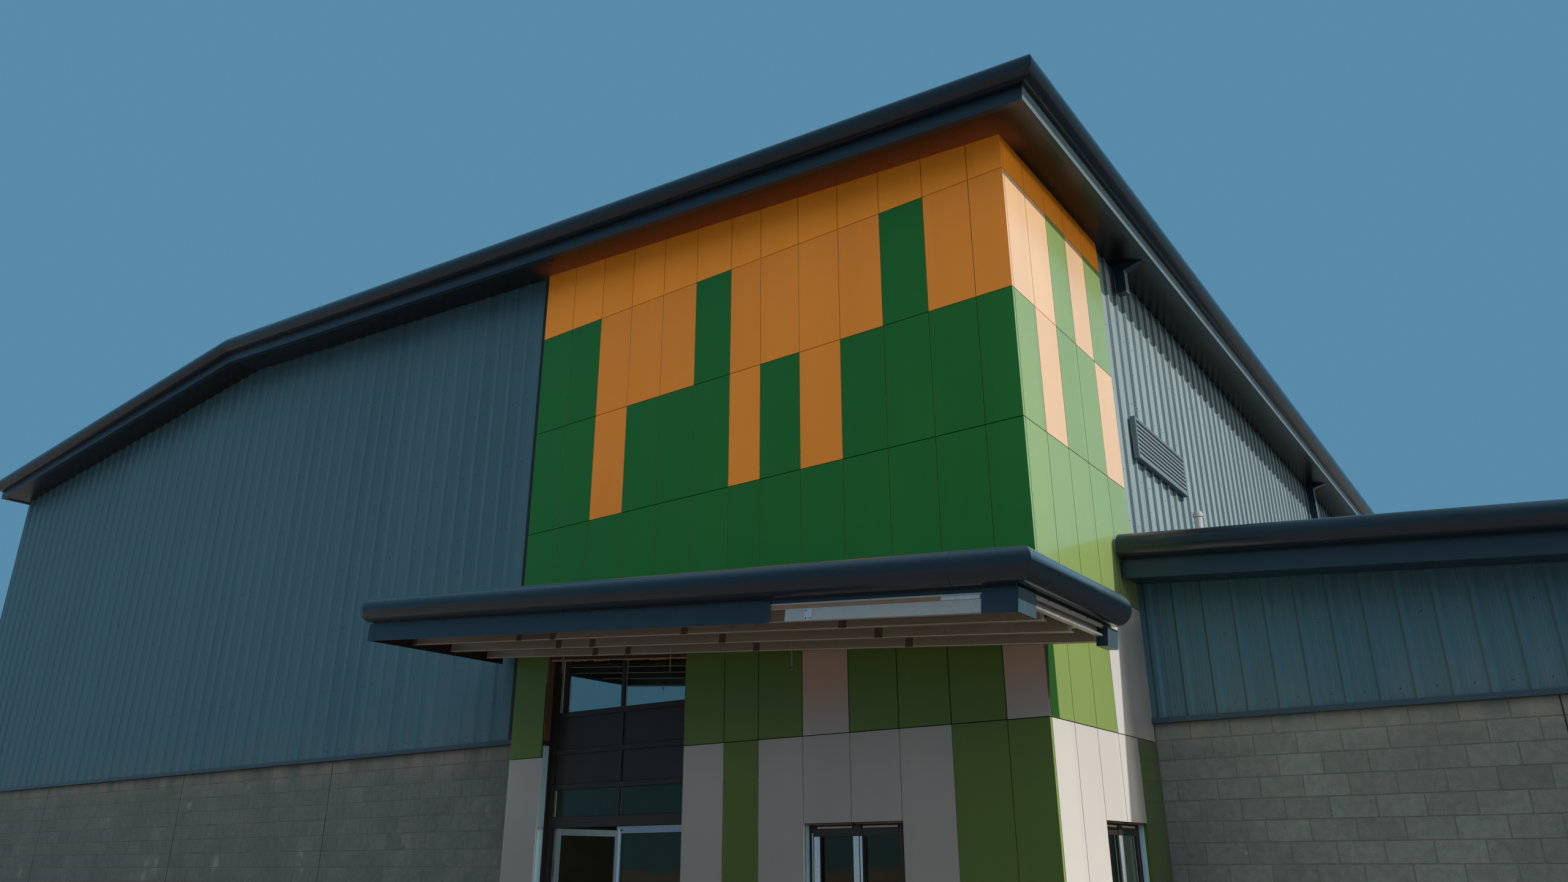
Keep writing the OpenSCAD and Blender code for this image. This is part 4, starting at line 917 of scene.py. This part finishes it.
class SCHOOL_OT_roof_sheets(bpy.types.Operator):
    """Ribs and ridge cap of the metal roofs"""

    bl_idname = "school.roof_sheets"
    bl_label = "Roof sheets"

    def execute(self, context):
        ribs = Form()
        section = [(-0.035, 0), (-0.018, 0.026), (0.018, 0.026), (0.035, 0)]
        for place, x0, x1, y, last, z in (
            (RIGHT_SLOPE, 0.02, 16.82, -0.38, 30.4, 0.4),
            (LEFT_SLOPE, -10.15, -0.02, -0.38, 30.4, 0.4),
            (WING_ROOF, 0.1, 8.7, WING_FRONT - 0.4, 15.5, 0.35),
        ):
            while y < last:
                ribs.strip([(y + a, z + b) for a, b in section], x0, x1, place)
                y += RIB
        for x in [-8.5 + 0.42 * i for i in range(21)]:
            ribs.bar((x - 0.02, -2.04, 0.3989), (x + 0.02, -0.03, 0.421), 0.004, 0, CANOPY)
        ribs.build("roof_ribs", "roof_metal", "roof")
        cap = Form()
        for slope, a, b in ((RIGHT_SLOPE, 0.0, 0.28), (LEFT_SLOPE, -0.28, 0.0)):
            cap.bar((a, -0.4, 0.426), (b, 30.4, 0.429), 0.001, 0, slope)
        cap.build("ridge_cap", "roof_metal", "folded")
        return {"FINISHED"}


class SCHOOL_OT_louvre(bpy.types.Operator):
    """Lips of the louvre blades, and a dark sheet behind them as painted shade between the blades."""

    bl_idname = "school.louvre"
    bl_label = "Louvre pieces"

    def execute(self, context):
        lo, hi = BOX["louvre"]
        form, blades, inset = Form(), 8, 0.046
        y0, y1 = lo.y + inset, hi.y - inset
        rise = (hi.z - lo.z - 0.09) / blades
        for i in range(blades):
            z = lo.z + 0.045 + (i + 0.72) * rise - 0.046
            form.bar((hi.x - 0.0035, y0, z - 0.004), (hi.x - 0.0015, y1, z + 0.021), 0.0006)
        # A dark sheet behind the lips: painted shade between the blades.
        form.bar((hi.x - 0.0048, y0, lo.z + inset), (hi.x - 0.0038, y1, hi.z - inset), 0.0003, 1)
        form.build("louvre_lips", "wall_metal", "blade", "rubber")
        return {"FINISHED"}


def border(x0, x1, z0, z1, g):
    """The four strips of a border of width g inside a rectangle."""
    return ((x0, x1, z0, z0 + g), (x0, x1, z1 - g, z1), (x0, x0 + g, z0 + g, z1 - g),
            (x1 - g, x1, z0 + g, z1 - g))


class SCHOOL_OT_entrance(bpy.types.Operator):
    """Jamb strips, packing and gaskets of the doorway, and a dark strip beside the panels, a closure trim
    darkened as painted shade of the recess.
    """

    bl_idname = "school.entrance"
    bl_label = "Entrance pieces"

    def execute(self, context):
        rng = random.Random(11)
        face = CORNER.y
        trims = Form()
        for side, inner in ((1, CORNER.x - 7.054), (-1, CORNER.x - 4.61)):
            for thick, y0, y1, z0, z1, slot in (
                (0.0045, 0.02, 0.122, 0.25, 2.226, 0),
                (0.0045, 0.02, 0.122, 2.262, 3.262, 0),
                (0.008, 0.03, 0.118, 3.268, 3.335, 2),
                (0.012, 0.012, 0.112, 3.34, 4.64, 1),
                (0.003, 0.122, 0.198, 0.13, 4.66, 3),
            ):
                a, b = sorted((inner + side * 0.0005, inner + side * thick))
                trims.bar((a, face + y0, z0), (b, face + y1, z1), 0.0012, slot)
        # Packing between the canopy and the head of the doorway, with a ragged lower edge
        x, end = -7.75, -5.32
        while x < end - 0.01:
            wide = rng.uniform(0.05, 0.16)
            drop = rng.uniform(0.0, 0.014)
            trims.bar((x, 0.026, 0.03 - drop), (min(x + wide, end), 0.04, 0.045), 0.002, 4, CANOPY)
            x += wide
        trims.bar((-7.75, 0.022, 0.044), (end, 0.038, 0.085), 0.002, 2, CANOPY)
        trims.bar((-7.75, 0.028, 0.085), (end, 0.04, 0.3), 0.002, 5, CANOPY)
        trims.build("doorway_jamb_strips", "flashing", "trim", "timber", "stained", "frame", "foam", "cleat")
        edge = Form()
        # A dark strip in the recess beside the panels' left edge: a closure trim, painted dark as the recess's
        # shade.
        edge.bar((CORNER.x - 7.755, face + 0.02, 3.39), (CORNER.x - 7.667, face + 0.0738, 10.42), 0.001)
        edge.build("panel_edge_shade_strip", "wall_metal", "rubber")
        # Gaskets round the four fixed panes and the two spandrels on each side
        gasket = Form()
        for x0, x1 in ((-6.9935, -5.8625), (-5.8015, -4.6705)):
            for z0, z1 in ((2.373, 2.711), (2.773, 3.154), (3.216, 3.624), (3.686, 4.609)):
                for a, b, c, d in border(x0, x1, z0, z1, 0.009):
                    gasket.bar((CORNER.x + a, face + 0.2125, c), (CORNER.x + b, face + 0.2175, d), 0.001)
        gasket.build("doorway_gaskets", "frame_dark", "rubber")
        return {"FINISHED"}


class SCHOOL_OT_doors(bpy.types.Operator):
    """Cover strips, gaskets, knobs and lock plates that move with the door leaves"""

    bl_idname = "school.doors"
    bl_label = "Door pieces"

    def execute(self, context):
        # The right leaf is built closed, along X; the left one is built open, along Y
        for leaf, node, across in (("right", "door_right_glass", 0), ("left", "door_left_glass", 1)):
            lo, hi = BOX[node]
            mid, form, thin = (lo + hi) / 2, Form(), 1 - across

            def put_bar(a0, a1, z0, z1, t0, t1, slot):
                low, high = [0, 0, z0], [0, 0, z1]
                low[across], high[across] = a0, a1
                low[thin], high[thin] = t0, t1
                form.bar(low, high, 0.001, slot)

            for out in (-1, 1):
                t = sorted((mid[thin] + out * 0.0125, mid[thin] + out * 0.0165))
                for strip in border(lo[across], hi[across], lo.z, hi.z, 0.008):
                    put_bar(*strip, *t, 1)
            if leaf == "right":
                front, a = mid.y - 0.0251, CORNER.x - 5.798
                put_bar(a, a + 0.034, 0.16, 2.216, front - 0.003, front, 0)
                turn = Matrix.Translation((CORNER.x - 5.752, front, 2.196)) @ Matrix.Rotation(pi / 2, 4, "X")
                form.turned(((0.011, 0), (0.011, 0.01), (0.008, 0.014)), 12, turn, 2)
            else:
                edge = BOX["door_left"][0].y
                form.bar((mid.x - 0.007, edge - 0.0015, 1.66), (mid.x + 0.007, edge, 1.86), 0.0006, 2)
            form.build("door_pieces_" + leaf, "door_silver", "white", "rubber", "screw", body=leaf + "_leaf")
        return {"FINISHED"}


# Strips of a window about its middle: two along X, two up, two out of the frame, and the finish
WINDOW_STRIPS = (
    (-0.585, -0.02, 2.187, 2.2035, 0.012, 0.084, 1),
    (0.03, 0.59, 2.188, 2.2035, 0.014, 0.086, 1),
    (-0.5, -0.045, 2.152, 2.172, 0.0005, 0.009, 2),
    (0.07, 0.49, 2.152, 2.172, 0.0005, 0.009, 2),
    (-0.055, 0.06, 2.075, 2.182, 0.0005, 0.02, 4),
    (-0.551, 0.551, 2.074, 2.145, 0.0085, 0.014, 4),
    (-0.57, -0.557, 1.02, 2.11, 0.0005, 0.009, 3),
    (-0.54, -0.466, 1.0, 2.072, 0.0085, 0.017, 3),
    (-0.045, 0.024, 1.0, 2.072, 0.0085, 0.017, 3),
    (0.035, 0.062, 1.0, 2.072, 0.0085, 0.015, 3),
    (-0.466, -0.452, 1.0, 2.072, 0.0085, 0.0115, 5),
    (0.0645, 0.08, 1.0, 2.072, 0.0085, 0.0115, 5),
)


class SCHOOL_OT_windows(bpy.types.Operator):
    """Reveals, head strips, stiles and gaskets of the two windows"""

    bl_idname = "school.windows"
    bl_label = "Window pieces"

    def execute(self, context):
        rng = random.Random(5)
        form = Form()
        half, sill = 0.611, 0.95
        for place in (wall_place(CORNER + Vector((-2.277, 0.11, 0)), FRONT),
                      wall_place(CORNER + Vector((-0.11, 1.833, 0)), RIGHT)):
            def strip(x0, x1, y0, y1, z0, z1, slot, edge=0.001):
                form.bar((x0, y0, z0), (x1, y1, z1), edge, slot, place)

            for s in (-1, 1):
                for near, far, low, high, out, slot in ((0.0005, 0.005, 0.01, 2.184, 0.066, 0),
                                                        (0.006, 0.018, 0.02, 2.18, 0.008, 4)):
                    a, b = sorted((s * (half - near), s * (half - far)))
                    strip(a, b, sill + low, high, 0.0005, out, slot)
            for numbers in WINDOW_STRIPS:
                strip(*numbers)
            for x in (-0.503, -0.01):
                z = 1.05
                while z < 2.05:
                    turn = place @ Matrix.Translation((x + rng.choice((-0.016, 0.014)), z, 0.017))
                    form.turned(((0.004, 0), (0.004, 0.0008), (0.002, 0.0014)), 8, turn, 6)
                    z += rng.uniform(0.055, 0.1)
            for x0, x1 in ((-0.5085, -0.0725), (0.0725, 0.5085)):
                for numbers in border(x0, x1, 1.0525, 2.1035, 0.008):
                    strip(*numbers, -0.0175, -0.0135, 5)
            strip(-half + 0.001, half - 0.001, sill + 0.0005, sill + 0.012, 0.001, 0.1, 0, 0.003)
        form.build("window_trims", "frame_dark", "trim", "timber", "blind", "white", "frame", "rubber", "screw")
        return {"FINISHED"}


def show(name, data):
    """Puts a lamp, a camera or a mesh into the scene."""
    thing = bpy.data.objects.new(name, data)
    bpy.context.collection.objects.link(thing)
    return thing


class SCHOOL_OT_stage(bpy.types.Operator):
    """Floor, sky, lamps and camera"""

    bl_idname = "school.stage"
    bl_label = "Stage"

    def execute(self, context):
        mesh, r, z = bpy.data.meshes.new("studio_floor"), 400, -0.002
        mesh.from_pydata([(-r, -r, z), (r, -r, z), (r, r, z), (-r, r, z)], [], [[0, 1, 2, 3]])
        floor = show("studio_floor", mesh)
        material = bpy.data.materials.new("studio_floor")
        material.use_nodes = True
        tree = material.node_tree
        shader = tree.nodes["Principled BSDF"]
        shader.inputs["Roughness"].default_value = 0.9
        shader.inputs["Specular IOR Level"].default_value = 0.1
        grain = put(tree, "TexNoise", {"Scale": 40.0, "Detail": 4.0}).outputs["Fac"]
        tree.links.new(blend(tree, grain, (0.2, 0.2, 0.195), (0.23, 0.23, 0.225)), shader.inputs["Base Color"])
        mesh.materials.append(material)
        # The sky is bluer where it is seen than where it lights
        world = context.scene.world = bpy.data.worlds.new("studio")
        world.use_nodes = True
        tree = world.node_tree
        seen = put(tree, "LightPath").outputs
        shown = maths(tree, "MAXIMUM", seen["Is Camera Ray"], seen["Is Transmission Ray"])
        shown = maths(tree, "MAXIMUM", shown, seen["Is Glossy Ray"])
        sky = blend(tree, shown, (0.21, 0.23, 0.26), (0.1, 0.26, 0.4))
        tree.links.new(sky, tree.nodes["Background"].inputs["Color"])
        for name, towards, energy, angle, tint in (
            ("key", (0.75, 0.086, 0.655), 3.5, 1.0, (1.0, 0.96, 0.9)),
            ("fill", (0.2, -0.65, 0.73), 1.02, 70, (0.93, 0.97, 1.0)),
            ("bounce", (1.0, 0.03, 0.0), 1.0, 20, (1.0, 0.87, 0.7)),
        ):
            lamp = bpy.data.lights.new(name, "SUN")
            lamp.energy, lamp.angle, lamp.color = energy, radians(angle), tint
            light = show(name, lamp)
            light.rotation_mode = "QUATERNION"
            light.rotation_quaternion = Vector(towards).to_track_quat("Z", "Y")
            light.visible_glossy = name == "key"
        lamp = bpy.data.lights.new("indoors", "POINT")
        lamp.energy, lamp.shadow_soft_size, lamp.color = 450, 0.8, (0.9, 1.0, 0.92)
        light = show("indoors", lamp)
        light.location = CORNER + Vector((-4.6, 4.5, 3.0))
        light.visible_glossy = light.visible_transmission = light.visible_camera = False
        # The photograph's camera: 1799.5 pixels of focal length for 2560 of width
        view = bpy.data.cameras.new("photo_view")
        view.sensor_width, view.lens, view.clip_end = 36.0, 1799.5 / 2560 * 36, 1000
        camera = context.scene.camera = show("photo_view", view)
        right = Vector((0.81057, 0.58563, -0.00305))
        down = Vector((-0.21262, 0.28943, -0.93329))
        ahead = Vector((-0.54568, 0.75715, 0.35911))
        camera.matrix_world = Matrix((right, -down, -ahead)).transposed().to_4x4()
        camera.location = CORNER + Vector((4.2537, -10.2411, 1.7912))
        context.scene.view_settings.view_transform = "Standard"
        return {"FINISHED"}


STEPS = (
    SCHOOL_OT_finishes, SCHOOL_OT_blockwork, SCHOOL_OT_wall_screws, SCHOOL_OT_canopy, SCHOOL_OT_roof_edges,
    SCHOOL_OT_roof_sheets, SCHOOL_OT_louvre, SCHOOL_OT_entrance, SCHOOL_OT_doors, SCHOOL_OT_windows,
    SCHOOL_OT_stage,
)


class SCHOOL_PT_panel(bpy.types.Panel):
    """Colours, sizes and steps of the building"""

    bl_label = "School building"
    bl_idname = "SCHOOL_PT_panel"
    bl_space_type = "VIEW_3D"
    bl_region_type = "UI"
    bl_category = "School"

    def draw(self, context):
        for settings in (context.scene.school_colours, context.scene.school_sizes):
            for name in settings.bl_rna.properties.keys():
                if name not in ("rna_type", "name"):
                    self.layout.prop(settings, name)
        for step in STEPS:
            self.layout.operator(step.bl_idname)


CLASSES = (SchoolColours, SchoolSizes, *STEPS, SCHOOL_PT_panel)


def register():
    for cls in CLASSES:
        bpy.utils.register_class(cls)
    bpy.types.Scene.school_colours = PointerProperty(type=SchoolColours)
    bpy.types.Scene.school_sizes = PointerProperty(type=SchoolSizes)


def unregister():
    del bpy.types.Scene.school_sizes
    del bpy.types.Scene.school_colours
    for cls in reversed(CLASSES):
        bpy.utils.unregister_class(cls)


def main():
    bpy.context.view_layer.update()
    register()
    for step in STEPS:
        category, name = step.bl_idname.split(".")
        getattr(getattr(bpy.ops, category), name)()


if __name__ == "__main__":
    main()
